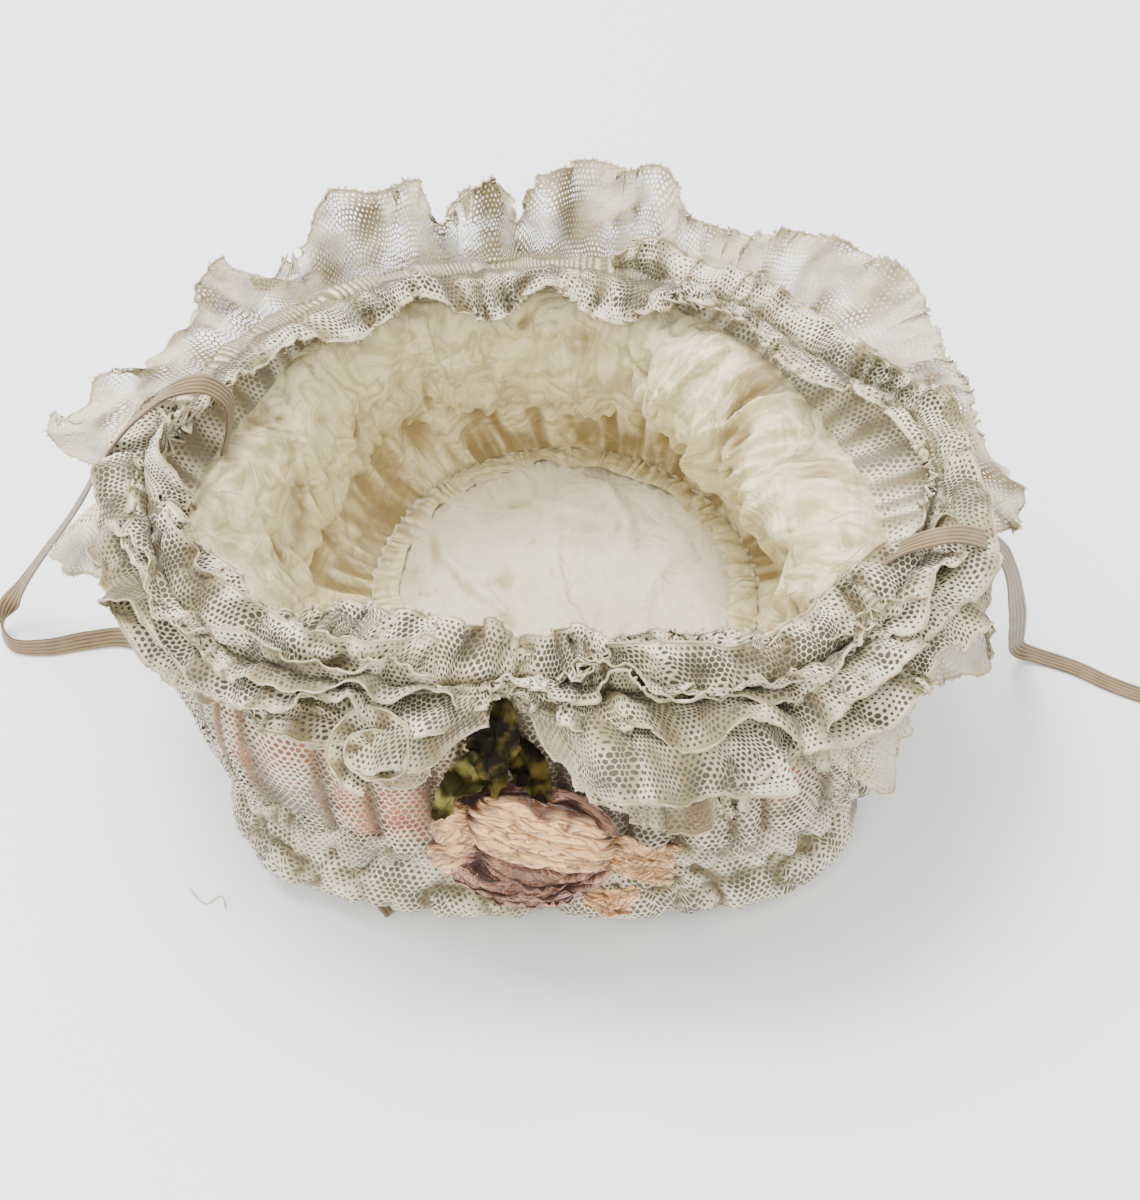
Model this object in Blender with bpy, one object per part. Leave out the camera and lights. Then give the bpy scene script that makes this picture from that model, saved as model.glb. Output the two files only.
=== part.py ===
"""Child's lace bonnet, lying upside down on its crown, with its brim ruffles up and a silk rose in front.

Metres, +Z up. The origin is the middle of the flattened crown, on the surface it lies on.
Angles run counter-clockwise from +X, seen from above; 270 degrees is the front, where the rose is.
"""
import math
from collections import namedtuple

import bmesh
import bpy
from mathutils import Vector

MM = 0.001

# Opening and brim
HEAD_RADIUS = 72 * MM      # mean radius of the edge where silk lining meets net facing
HEAD_HEIGHT = 74 * MM      # mean height of that edge above the crown's floor
BRIM_WIDTH = 10 * MM       # mean reach of the facing beyond the silk
BRIM_RISE = 6 * MM         # mean rise of the facing from the silk to the rim
RUFFLE_WIDTH = 28 * MM     # depth of the wide net ruffle
FRILL_WIDTH = 15 * MM      # depth of the narrow lace frill
NEAR_FRILL_WIDTH = 13 * MM  # depth of the lace gathered on top of the front rim

# Crown and side
CROWN_RADIUS = 78 * MM     # mean radius of the puffed crown
CROWN_HEIGHT = 21 * MM     # height of the puff
FLAT_RADIUS = 50 * MM      # part of the crown pressed flat by the bonnet's weight
ROLL_WIDTH = 9 * MM        # across the padded roll above the puff
ROLL_DEPTH = 7.5 * MM      # height of that roll
TIP_HALF_WIDTH = 47 * MM   # cotton tip inside the crown, side to side
TIP_HALF_DEPTH = 51 * MM   # cotton tip, front to back
TIP_HEIGHT = 22 * MM       # height of the tip above the floor
TIP_SHIFT_X = 5 * MM
TIP_SHIFT_Y = 10 * MM
SEAM_WIDTH = 2.6 * MM      # gathered seam ridge round the tip

# Silk roll round the opening
HEAD_ROLL_HEIGHT = 23 * MM  # height of the silk head band and roll
HEAD_ROLL_FULLNESS = 17 * MM  # thickness where it is fully padded

# Walls and gaps
NET_WALL = 1.2 * MM
SILK_WALL = 1.0 * MM
CASING_WIDTH = 5 * MM
CASING_DEPTH = 2.4 * MM
GAP = 0.4 * MM             # clearance between touching pieces
LAYER_GAP = 0.5 * MM       # clearance between parallel layers of cloth

# Rose, leaves and lace curl
ROSE_WIDTH = 42 * MM
ROSE_HEIGHT = 34 * MM
ROSE_DEPTH = 9 * MM
ROSE_MIDDLE_Z = 36 * MM
ROSE_LEAN = 14             # degrees its top leans back against the side
ROSE_ANGLE = 266
PETAL_WALL = 1.4 * MM
RIBBON_LENGTH = 22 * MM
RIBBON_WIDTH = 13 * MM
LEAF_LENGTH = 15 * MM
LEAF_WIDTH = 8 * MM
LEAF_WALL = 1.0 * MM
CURL_RADIUS = 8 * MM
CURL_STRIP = 4.5 * MM
CURL_TURNS = 1.75

# Elastic chin strap, in two halves with free ends
STRAP_WIDTH = 5 * MM
STRAP_THICKNESS = 0.8 * MM
STRAP_POINTS = 38

# Facets
ROUND_STEPS = 48
FRILL_STEPS = 72
RUFFLE_STEPS = 96

HeadRow = namedtuple("HeadRow", "degrees radius height brim_out brim_up")
# Shares of HEAD_RADIUS, HEAD_HEIGHT, BRIM_WIDTH and BRIM_RISE
HEAD_TABLE = [
    HeadRow(0, 0.99, 0.97, 1.55, 1.80),
    HeadRow(12, 0.93, 0.97, 0.90, 1.90),
    HeadRow(25, 0.89, 1.00, 0.50, 1.40),
    HeadRow(50, 0.86, 1.03, 0.35, 0.90),
    HeadRow(75, 0.84, 1.03, 0.35, 0.80),
    HeadRow(105, 0.84, 1.03, 0.35, 0.80),
    HeadRow(127, 0.89, 1.05, 0.35, 0.90),
    HeadRow(145, 0.95, 1.03, 0.50, 1.10),
    HeadRow(162, 0.97, 1.00, 0.90, 1.60),
    HeadRow(178, 1.06, 0.97, 0.95, 1.50),
    HeadRow(195, 1.12, 0.95, 0.90, 1.20),
    HeadRow(210, 1.13, 0.92, 0.85, 1.10),
    HeadRow(225, 1.08, 0.91, 0.75, 1.00),
    HeadRow(240, 0.99, 0.90, 0.60, 1.00),
    HeadRow(256, 0.86, 0.89, 0.50, 0.90),
    HeadRow(270, 0.81, 0.88, 0.50, 0.90),
    HeadRow(285, 0.88, 0.88, 0.50, 0.90),
    HeadRow(300, 1.00, 0.89, 0.60, 1.00),
    HeadRow(315, 1.07, 0.90, 0.65, 1.10),
    HeadRow(330, 1.10, 0.92, 0.85, 1.30),
    HeadRow(345, 1.06, 0.95, 1.30, 1.70),
]

SideRow = namedtuple("SideRow", "degrees radius belly shoulder fullness")
# radius: crown outline as a share of CROWN_RADIUS; belly: bulge of the net side in shares of
# BRIM_WIDTH; shoulder: where the lining turns upright, from tip (0) to silk edge (1);
# fullness: thickness of the silk roll as a share of HEAD_ROLL_FULLNESS
SIDE_TABLE = [
    SideRow(0, 0.98, 0.10, 0.95, 1.00),
    SideRow(30, 0.97, 0.05, 0.90, 0.95),
    SideRow(55, 0.96, 0.00, 0.90, 0.70),
    SideRow(75, 0.96, 0.00, 0.90, 0.35),
    SideRow(95, 0.96, 0.00, 0.90, 0.20),
    SideRow(130, 0.96, 0.05, 0.80, 0.18),
    SideRow(160, 0.96, 0.15, 0.62, 0.20),
    SideRow(185, 1.02, 0.35, 0.60, 0.22),
    SideRow(207, 1.10, 0.45, 0.62, 0.20),
    SideRow(223, 1.12, 0.30, 0.70, 0.18),
    SideRow(240, 1.04, 0.15, 0.75, 0.18),
    SideRow(256, 0.96, 0.05, 0.80, 0.18),
    SideRow(272, 0.93, 0.00, 0.80, 0.18),
    SideRow(288, 0.98, 0.05, 0.80, 0.20),
    SideRow(304, 1.07, 0.10, 0.80, 0.35),
    SideRow(318, 1.12, 0.15, 0.82, 0.60),
    SideRow(338, 1.06, 0.15, 0.90, 0.90),
]

EdgeRow = namedtuple("EdgeRow", "degrees swing out up bow")
# From the rim: swing is the free edge's turn in degrees, out and up are shares of the
# ruffle's width, and bow lifts the middle of the cloth off the straight line
RUFFLE_TABLE = [
    EdgeRow(0, 0, 0.36, 0.08, 0.10),
    EdgeRow(12, 0, 0.55, 0.20, 0.10),
    EdgeRow(24, 0, 0.80, 0.38, 0.06),
    EdgeRow(33, 0, 0.78, 0.42, 0.04),
    EdgeRow(43, 0, 0.56, 0.46, 0.04),
    EdgeRow(52, 0, 0.30, 0.40, 0.04),
    EdgeRow(60, 2, 0.20, 0.45, 0.04),
    EdgeRow(67, 1, 0.32, 0.78, 0.02),
    EdgeRow(76, 0, 0.24, 0.72, 0.02),
    EdgeRow(85, 0, 0.25, 0.78, 0.02),
    EdgeRow(91, 1, 0.10, 0.62, 0.02),
    EdgeRow(95, 1, 0.06, 0.32, 0.02),
    EdgeRow(99, 0, 0.22, 0.66, 0.02),
    EdgeRow(105, 0, 0.14, 0.60, 0.02),
    EdgeRow(111, 0, 0.10, 0.32, 0.02),
    EdgeRow(117, -1, 0.14, 0.70, 0.02),
    EdgeRow(123, -1, 0.28, 0.60, 0.02),
    EdgeRow(129, 0, 0.36, 0.68, 0.02),
    EdgeRow(135, 0, 0.22, 0.40, 0.04),
    EdgeRow(140, 0, 0.20, 0.22, 0.04),
    EdgeRow(146, 0, 0.44, 0.42, 0.05),
    EdgeRow(152, 0, 0.46, 0.26, 0.05),
    EdgeRow(157, 0, 0.38, 0.06, 0.06),
    EdgeRow(165, 2, 0.52, 0.04, 0.04),
    EdgeRow(171, 2, 0.90, -0.12, -0.02),
    EdgeRow(176, 0, 0.92, -0.22, -0.04),
    EdgeRow(180, 0, 0.20, -0.25, -0.04),
    EdgeRow(184, 0, 0.30, -0.35, 0.02),
    EdgeRow(188, 0, 0.76, -0.45, 0.06),
    EdgeRow(193, 0, 0.60, -0.62, 0.12),
    EdgeRow(198, 0, 0.38, -0.60, 0.18),
    EdgeRow(206, 0, 0.26, -0.52, 0.20),
    EdgeRow(216, 0, 0.22, -0.44, 0.20),
    EdgeRow(228, 0, 0.22, -0.42, 0.20),
    EdgeRow(240, 0, 0.28, -0.56, 0.20),
    EdgeRow(249, 0, 0.34, -0.68, 0.18),
    EdgeRow(256, 0, 0.24, -0.34, 0.16),
    EdgeRow(262, 0, 0.14, -0.06, 0.10),
    EdgeRow(268, 1, 0.24, -0.20, 0.16),
    EdgeRow(276, 0, 0.52, -0.42, 0.20),
    EdgeRow(287, 0, 0.56, -0.72, 0.22),
    EdgeRow(297, 1, 0.34, -0.72, 0.24),
    EdgeRow(303, 0, 0.24, -0.46, 0.20),
    EdgeRow(309, 0, 0.36, -0.60, 0.20),
    EdgeRow(315, 0, 0.62, -0.86, 0.20),
    EdgeRow(321, 0, 0.50, -0.58, 0.18),
    EdgeRow(327, 0, 0.34, -0.46, 0.16),
    EdgeRow(333, 0, 0.56, -0.62, 0.18),
    EdgeRow(338, 0, 0.34, -0.50, 0.10),
    EdgeRow(343, 0, 0.12, -0.34, 0.04),
    EdgeRow(347, 0, 0.26, -0.32, 0.02),
    EdgeRow(352, 0, 0.56, -0.32, 0.02),
    EdgeRow(356, 0, 0.42, -0.08, 0.06),
]

# The narrow frill turns inward, and lies outward over the rim on the right and the left
FRILL_TABLE = [
    EdgeRow(0, 0, -0.15, 0.15, 0.12),
    EdgeRow(10, 0, -0.25, 0.15, 0.12),
    EdgeRow(17, 0, -0.50, 0.05, 0.14),
    EdgeRow(33, 0, -0.20, 0.10, 0.14),
    EdgeRow(45, 0, -0.18, 0.10, 0.14),
    EdgeRow(56, 0, -0.22, 0.05, 0.14),
    EdgeRow(65, 0, -0.58, -0.30, 0.16),
    EdgeRow(76, 0, -0.66, -0.34, 0.16),
    EdgeRow(90, 0, -0.42, 0.04, 0.16),
    EdgeRow(103, 0, -0.62, -0.40, 0.16),
    EdgeRow(112, 0, -0.56, -0.30, 0.16),
    EdgeRow(121, 0, -0.28, -0.02, 0.16),
    EdgeRow(131, 0, -0.48, -0.24, 0.14),
    EdgeRow(142, 0, -0.62, -0.30, 0.14),
    EdgeRow(150, 0, -0.44, -0.02, 0.12),
    EdgeRow(160, 0, -0.40, 0.02, 0.06),
    EdgeRow(172, 0, -0.22, 0.05, 0.04),
    EdgeRow(186, 0, -0.05, 0.30, 0.05),
    EdgeRow(198, 0, -0.15, 0.30, 0.05),
    EdgeRow(208, 0, -0.70, 0.10, 0.08),
    EdgeRow(217, 0, -0.60, 0.15, 0.08),
    EdgeRow(229, 0, -1.10, 0.20, 0.08),
    EdgeRow(243, 0, -1.15, 0.20, 0.06),
    EdgeRow(255, 0, -0.60, 0.12, 0.06),
    EdgeRow(266, 0, -0.40, 0.20, 0.06),
    EdgeRow(280, 0, -0.55, 0.20, 0.06),
    EdgeRow(293, 0, -0.75, 0.40, 0.06),
    EdgeRow(304, 0, -0.70, 0.35, 0.06),
    EdgeRow(316, 0, -0.14, 0.32, 0.04),
    EdgeRow(330, 0, -0.06, 0.22, 0.02),
    EdgeRow(345, 0, -0.06, 0.22, 0.02),
]

# Upright lace on top of the front rim, in two lengths either side of the leaves
NEAR_LEFT_TABLE = [
    EdgeRow(196, 0, 0.50, 0.50, 0.00),
    EdgeRow(205, 0, 0.10, 0.75, 0.00),
    EdgeRow(214, 0, 0.45, 0.60, 0.00),
    EdgeRow(224, 0, -0.10, 0.80, 0.00),
    EdgeRow(234, 0, 0.30, 0.80, 0.00),
    EdgeRow(244, 0, -0.20, 0.85, 0.00),
    EdgeRow(252, 0, 0.25, 0.70, 0.00),
]
NEAR_RIGHT_TABLE = [
    EdgeRow(272, 0, 0.30, 0.60, 0.00),
    EdgeRow(281, 0, -0.05, 0.80, 0.00),
    EdgeRow(291, 0, 0.40, 0.75, 0.00),
    EdgeRow(301, 0, 0.00, 0.85, 0.00),
    EdgeRow(311, 0, 0.50, 0.60, 0.00),
    EdgeRow(321, 0, 0.15, 0.75, 0.00),
    EdgeRow(330, 0, 0.50, 0.55, 0.00),
]

StrapRow = namedtuple("StrapRow", "x y z wide_x wide_y wide_z")
# Hand-chosen routes in millimetres, with the direction of the band's width at each point
STRAP_RIGHT_ROUTE = [
    StrapRow(66.6, -41.0, 70.0, 0.5, 0.8, 0.0),
    StrapRow(67.2, -40.2, 77.0, 0.5, 0.8, 0.0),
    StrapRow(69.0, -39.2, 84.0, 0.5, 0.8, 0.0),
    StrapRow(73.6, -38.2, 89.2, 0.4, 0.9, 0.0),
    StrapRow(80.0, -36.8, 91.2, 0.3, 1.0, 0.0),
    StrapRow(86.5, -35.2, 90.5, 0.3, 1.0, 0.0),
    StrapRow(92.9, -32.8, 86.0, 0.3, 1.0, 0.0),
    StrapRow(98.1, -29.3, 78.0, 0.4, 0.9, 0.1),
    StrapRow(102.3, -25.0, 67.0, 0.5, 0.8, 0.2),
    StrapRow(107.4, -16.2, 50.0, 0.7, 0.6, 0.1),
    StrapRow(112.4, -6.7, 32.0, 0.8, 0.5, 0.0),
    StrapRow(116.5, 2.5, 15.0, 0.8, 0.5, 0.0),
    StrapRow(119.5, 7.5, 4.5, 0.7, 0.7, 0.0),
    StrapRow(125.5, 7.8, 0.9, 0.2, 1.0, 0.0),
    StrapRow(133.9, 4.2, 0.6, 0.4, 0.9, 0.0),
    StrapRow(141.8, -1.0, 0.6, 0.4, 0.9, 0.0),
    StrapRow(149.8, -4.9, 0.6, 0.4, 0.9, 0.0),
    StrapRow(158.5, -7.0, 0.6, 0.2, 1.0, 0.0),
]
STRAP_LEFT_ROUTE = [
    StrapRow(-73.0, 7.6, 73.6, 0.2, 1.0, 0.0),
    StrapRow(-71.0, 8.0, 81.0, 0.2, 1.0, 0.0),
    StrapRow(-70.6, 8.6, 88.0, 0.3, 1.0, 0.0),
    StrapRow(-75.1, 7.8, 93.4, 0.4, 0.9, 0.0),
    StrapRow(-81.7, 4.4, 94.6, 0.4, 0.9, 0.0),
    StrapRow(-88.6, -0.2, 91.5, 0.4, 0.9, 0.0),
    StrapRow(-94.6, -2.6, 85.5, 0.3, 0.9, 0.0),
    StrapRow(-100.0, -1.4, 76.5, 0.1, 1.0, 0.1),
    StrapRow(-106.4, 4.7, 62.0, 0.2, 0.9, 0.3),
    StrapRow(-115.3, 12.1, 44.0, 0.3, 0.8, 0.4),
    StrapRow(-125.6, 17.6, 26.0, 0.3, 0.7, 0.6),
    StrapRow(-133.8, 19.8, 12.0, 0.2, 0.5, 0.8),
    StrapRow(-138.6, 16.6, 5.0, 0.1, 0.2, 1.0),
    StrapRow(-135.4, 10.2, 2.8, 0.0, 0.1, 1.0),
    StrapRow(-126.6, 9.2, 2.6, 0.0, 0.3, 0.9),
    StrapRow(-116.5, 11.6, 2.5, 0.0, 0.5, 0.8),
    StrapRow(-107.0, 13.0, 2.2, 0.1, 0.7, 0.6),
    StrapRow(-98.0, 9.6, 1.4, 0.3, 0.9, 0.3),
    StrapRow(-89.0, 1.6, 0.7, 0.6, 0.8, 0.1),
    StrapRow(-79.0, -10.4, 0.6, 0.7, 0.7, 0.0),
    StrapRow(-67.5, -25.0, 0.6, 0.8, 0.6, 0.0),
    StrapRow(-56.0, -39.8, 0.6, 0.8, 0.6, 0.0),
    StrapRow(-45.5, -53.2, 0.6, 0.8, 0.6, 0.0),
    StrapRow(-38.2, -63.0, 0.7, 0.8, 0.6, 0.1),
    StrapRow(-34.4, -68.6, 1.4, 0.8, 0.5, 0.3),
]

LeafRow = namedtuple("LeafRow", "name degrees out height turn droop length")
# out and height place the leaf's root from the rim in shares of LEAF_LENGTH; turn is its
# heading from straight outward, droop its dip below level, both in degrees
LEAF_TABLE = [
    LeafRow("leaf_left", 258.3, 0.56, -0.94, -34, 26, 1.05),
    LeafRow("leaf_middle", 262.0, 0.32, -0.66, 4, 24, 0.95),
    LeafRow("leaf_right", 266.5, 0.50, -0.80, 36, 18, 0.85),
    LeafRow("leaf_top", 261.0, -0.05, 0.40, -10, 0, 0.75),
]

FoldRow = namedtuple("FoldRow", "name height drop width lift")
# Folds of the rose under its broad petal: heights from the rose's middle and widths as
# shares of ROSE_HEIGHT and ROSE_WIDTH, lift off the core in shares of ROSE_DEPTH
FOLD_TABLE = [
    FoldRow("rose_fold_upper", 0.135, 0.02, 0.92, 0.00),
    FoldRow("rose_fold_middle", -0.10, 0.04, 0.88, 0.10),
    FoldRow("rose_fold_lower", -0.30, 0.06, 0.74, 0.05),
]

Finish = namedtuple("Finish", "name colour roughness")
NET = Finish("lace_net", (0.74, 0.71, 0.64), 0.85)
LACE = Finish("lace", (0.76, 0.73, 0.66), 0.85)
SILK = Finish("cream_silk", (0.80, 0.75, 0.62), 0.45)
COTTON = Finish("white_cotton", (0.84, 0.81, 0.73), 0.8)
PINK = Finish("pink_silk", (0.80, 0.60, 0.52), 0.5)
ROSE = Finish("rose_satin", (0.72, 0.47, 0.38), 0.4)
LEAF = Finish("leaf_velvet", (0.22, 0.21, 0.05), 0.7)
ELASTIC = Finish("tan_elastic", (0.42, 0.31, 0.20), 0.8)


def clear_scene():
    """Removes every object that the file starts with."""
    for thing in list(bpy.data.objects):
        bpy.data.objects.remove(thing, do_unlink=True)


def finish_material(name, finish):
    """A piece's own Principled material, with the colour and roughness of its finish."""
    material = bpy.data.materials.new(f"{name}_{finish.name}")
    material.use_nodes = True
    shader = material.node_tree.nodes["Principled BSDF"]
    shader.inputs["Base Color"].default_value = (*finish.colour, 1.0)
    shader.inputs["Roughness"].default_value = finish.roughness
    shader.inputs["Metallic"].default_value = 0.0
    return material


def smooth_value(before, start, end, after, share):
    """Catmull-Rom value between start and end."""
    return 0.5 * (2 * start + (end - before) * share
                  + (2 * before - 5 * start + 4 * end - after) * share ** 2
                  + (3 * start - before - 3 * end + after) * share ** 3)


def around(table, column, degrees):
    """Smooth value of one column of a closed table at an angle."""
    count = len(table)
    angle = (degrees - table[0].degrees) % 360 + table[0].degrees
    for index, row in enumerate(table):
        following = table[(index + 1) % count]
        end = following.degrees + (360 if index == count - 1 else 0)
        if angle <= end:
            share = (angle - row.degrees) / (end - row.degrees)
            before = getattr(table[index - 1], column)
            after = getattr(table[(index + 2) % count], column)
            return smooth_value(before, getattr(row, column), getattr(following, column), after, share)
    raise ValueError(f"no row covers {degrees} degrees")


def along(table, column, share):
    """Smooth value of one column of an open table, by a share of its rows from 0 to 1."""
    position = min(share, 1) * (len(table) - 1)
    index = min(int(position), len(table) - 2)
    values = [getattr(row, column) for row in table]
    before = values[max(index - 1, 0)]
    after = values[min(index + 2, len(values) - 1)]
    return smooth_value(before, values[index], values[index + 1], after, position - index)


def polar(degrees, radius, height, middle_x=0.0, middle_y=0.0):
    """Point at an angle and radius round a middle."""
    turn = math.radians(degrees)
    return Vector((middle_x + radius * math.cos(turn), middle_y + radius * math.sin(turn), height))


def outward(degrees):
    """Level direction away from the bonnet's middle."""
    return polar(degrees, 1.0, 0.0)


def head_radius(degrees):
    return HEAD_RADIUS * around(HEAD_TABLE, "radius", degrees)


def head_height(degrees):
    return HEAD_HEIGHT * around(HEAD_TABLE, "height", degrees)


def rim_radius(degrees):
    return head_radius(degrees) + BRIM_WIDTH * around(HEAD_TABLE, "brim_out", degrees)


def rim_height(degrees):
    return head_height(degrees) + BRIM_RISE * around(HEAD_TABLE, "brim_up", degrees)


def crown_radius(degrees):
    return CROWN_RADIUS * around(SIDE_TABLE, "radius", degrees)


def ripple(degrees, gathers, depth, phase=0.0):
    """Even gathers round the bonnet."""
    return depth * math.cos(math.radians(degrees * gathers + phase))


def tip_point(degrees, share=1.0, height=TIP_HEIGHT):
    """Point of the oval tip; share 1 is its edge."""
    turn = math.radians(degrees)
    return Vector((TIP_SHIFT_X + TIP_HALF_WIDTH * share * math.cos(turn),
                   TIP_SHIFT_Y + TIP_HALF_DEPTH * share * math.sin(turn), height))


def new_object(name, mesh, finish):
    """Object from a mesh, shaded smooth, with its material."""
    mesh.materials.append(finish_material(name, finish))
    mesh.shade_smooth()
    mesh.set_sharp_from_angle(angle=math.radians(50))
    thing = bpy.data.objects.new(name, mesh)
    bpy.context.collection.objects.link(thing)
    return thing


def mesh_from(name, points, faces):
    """Mesh with its faces turned outward."""
    mesh = bpy.data.meshes.new(name)
    mesh.from_pydata([tuple(point) for point in points], [], faces)
    work = bmesh.new()
    work.from_mesh(mesh)
    bmesh.ops.recalc_face_normals(work, faces=work.faces)
    work.to_mesh(mesh)
    work.free()
    return mesh


def grid_normals(grid, closed):
    """Unit normals of a grid of points, rows round the bonnet and columns across the cloth."""
    rows = len(grid)
    normals = []
    for i, row in enumerate(grid):
        before = grid[i - 1] if closed or i > 0 else row
        after = grid[(i + 1) % rows] if closed or i < rows - 1 else row
        line = []
        for j, point in enumerate(row):
            across = row[min(j + 1, len(row) - 1)] - row[max(j - 1, 0)]
            line.append((after[j] - before[j]).cross(across).normalized())
        normals.append(line)
    return normals


def cloth(name, grid, wall, finish, closed=True):
    """Closed wall centred on a grid of points, cut into triangles alike on its two sides."""
    normals = grid_normals(grid, closed)
    points = []
    for row, line in zip(grid, normals):
        points += [p + n * wall / 2 for p, n in zip(row, line)]
        points += [p - n * wall / 2 for p, n in zip(reversed(row), reversed(line))]
    size = 2 * len(grid[0])
    rows = len(grid)
    faces = []
    for i in range(rows if closed else rows - 1):
        this, following = i * size, ((i + 1) % rows) * size
        for j in range(size):
            k = (j + 1) % size
            a, b, c, d = this + j, this + k, following + k, following + j
            if j < len(grid[0]) - 1:
                faces += [(a, b, c), (a, c, d)]
            else:
                faces += [(a, b, d), (b, c, d)]
    if not closed:
        faces.append(tuple(range(size)))
        faces.append(tuple((rows - 1) * size + j for j in range(size)))
    return new_object(name, mesh_from(name, points, faces), finish)


def ring_grid(stations, steps, start=0.0, end=360.0):
    """Grid whose rows follow the angle; stations are functions of the angle."""
    closed = end - start >= 360
    count = steps if closed else steps + 1
    return [[station(start + (end - start) * i / steps) for station in stations] for i in range(count)]


def dish(name, upper, lower, steps, finish):
    """Closed bowl from two sets of stations that both run from the middle to the lip."""
    points = []
    for i in range(steps):
        degrees = 360 * i / steps
        points += [station(degrees) for station in upper]
        points += [station(degrees) for station in reversed(lower)]
    size = len(upper) + len(lower)
    faces = []
    for i in range(steps):
        this, following = i * size, ((i + 1) % steps) * size
        for j in range(size - 1):
            faces.append((this + j, this + j + 1, following + j + 1, following + j))
    faces.append(tuple(i * size for i in range(steps)))
    faces.append(tuple(i * size + size - 1 for i in range(steps)))
    return new_object(name, mesh_from(name, points, faces), finish)


def make_crown_base():
    """Puffed net crown, flat where it lies, with soft lobes at its outer edge."""
    def lobes(degrees):
        return ripple(degrees, 16, 1.4 * MM) + ripple(degrees, 7, 0.8 * MM, 40)

    def station(share, height, lobe=0.0, inset=0.0):
        return lambda a: polar(a, crown_radius(a) * share + lobe * lobes(a) - inset, height)

    under = [
        lambda a: polar(a, FLAT_RADIUS, 0.0),
        station(0.80, 2.4 * MM),
        station(0.93, 4.2 * MM, 0.4),
        station(1.00, 9.0 * MM, 1.0),
        station(0.985, 15.5 * MM, 0.6),
        station(0.935, CROWN_HEIGHT, 0.0),
    ]
    over = [
        lambda a: polar(a, FLAT_RADIUS, NET_WALL),
        station(0.80, 2.4 * MM + NET_WALL),
        station(0.93, 4.6 * MM + NET_WALL, 0.4, NET_WALL * 0.5),
        station(1.00, 9.3 * MM, 1.0, NET_WALL),
        station(0.985, 15.2 * MM, 0.6, NET_WALL),
        station(0.935, CROWN_HEIGHT, 0.0, NET_WALL),
    ]
    return dish("crown_base", over, under, ROUND_STEPS, NET)


def roll_middle(degrees):
    """Middle of the padded roll that sits on the puff."""
    inset = CROWN_RADIUS * 0.065 + NET_WALL * 0.5
    return polar(degrees, crown_radius(degrees) - inset, CROWN_HEIGHT + GAP + ROLL_DEPTH / 2)


def tube_ring(name, middle, half_wide, half_deep, lean, steps, sides, finish, start=0.0, end=360.0):
    """Closed ring of oval section; lean tips its wide axis outward from upright, in degrees."""
    closed = end - start >= 360
    count = steps if closed else steps + 1
    points = []
    for i in range(count):
        degrees = start + (end - start) * i / steps
        tip = math.radians(lean(degrees))
        wide = outward(degrees) * math.sin(tip) + Vector((0, 0, math.cos(tip)))
        deep = outward(degrees) * math.cos(tip) - Vector((0, 0, math.sin(tip)))
        for j in range(sides):
            turn = 2 * math.pi * (j + 0.5) / sides
            points.append(middle(degrees) + wide * half_wide(degrees) * math.sin(turn)
                          + deep * half_deep(degrees) * math.cos(turn))
    faces = []
    for i in range(count if closed else count - 1):
        this, following = i * sides, ((i + 1) % count) * sides
        for j in range(sides):
            k = (j + 1) % sides
            faces.append((this + j, this + k, following + k, following + j))
    if not closed:
        faces.append(tuple(range(sides)))
        faces.append(tuple((count - 1) * sides + j for j in range(sides)))
    return new_object(name, mesh_from(name, points, faces), finish)


def make_crown_roll():
    """Narrow padded roll between the puff and the net side."""
    def pinch(degrees):
        return 1.0 + ripple(degrees, 12, 0.05)

    return tube_ring("crown_roll", roll_middle,
                     lambda a: ROLL_DEPTH / 2 * 0.99, lambda a: ROLL_WIDTH / 2 * pinch(a),
                     lambda a: 0.0, ROUND_STEPS, 6, NET)


def side_point(share, gathered=True):
    """Middle surface of the net side, from its lowest lobes (0) to the rim (1)."""
    low_height = CROWN_HEIGHT + ROLL_DEPTH + GAP + NET_WALL / 2 + 3.6 * MM

    def point(a):
        gathers = ripple(a, 16, 1.1 * MM) + ripple(a, 9, 0.7 * MM, 75) if gathered else -1.8 * MM
        low = polar(a, crown_radius(a) + 1.0 * MM + gathers, low_height)
        top = polar(a, rim_radius(a) + NET_WALL / 2 + GAP + 0.3 * MM, rim_height(a) - NET_WALL / 2 - GAP)
        belly = BRIM_WIDTH * around(SIDE_TABLE, "belly", a) * math.sin(math.pi * share)
        return low.lerp(top, share) + outward(a) * belly

    return point


def side_layer(share):
    """Middle surface of the silk layer behind the net side."""
    inset = NET_WALL / 2 + LAYER_GAP + SILK_WALL / 2
    return lambda a: side_point(share, gathered=False)(a) - outward(a) * inset


def side_stations():
    """Stations of the net side, from the roll up to the rim."""
    foot = CROWN_HEIGHT + ROLL_DEPTH + GAP + NET_WALL / 2

    def foot_point(a):
        return polar(a, roll_middle(a).xy.length - NET_WALL / 2, foot)

    return [foot_point] + [side_point(share) for share in (0.0, 0.30, 0.65, 1.0)]


def make_side_layers():
    """Net side and the silk layer that shows through it."""
    grid = ring_grid(side_stations(), ROUND_STEPS)
    cloth("side_band", grid, NET_WALL, NET)
    behind = ring_grid([side_layer(share) for share in (0.06, 0.30, 0.58)], ROUND_STEPS)
    cloth("side_underlay", behind, SILK_WALL, PINK)


def make_lining_tip():
    """Flat cotton tip inside the crown, a little domed."""
    def station(share, rise):
        return lambda a: tip_point(a, share, TIP_HEIGHT + rise)

    over = [station(0.15, 2.0 * MM), station(0.55, 1.5 * MM), station(1.0, 0.0)]
    under = [station(0.15, 2.0 * MM - SILK_WALL), station(0.55, 1.5 * MM - SILK_WALL),
             station(1.0, -SILK_WALL)]
    return dish("lining_tip", over, under, ROUND_STEPS, COTTON)


def lining_edge_point(degrees, out=0.0):
    """Lower edge of the lining's side, just outside the tip."""
    return tip_point(degrees) + outward(degrees) * out


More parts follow.
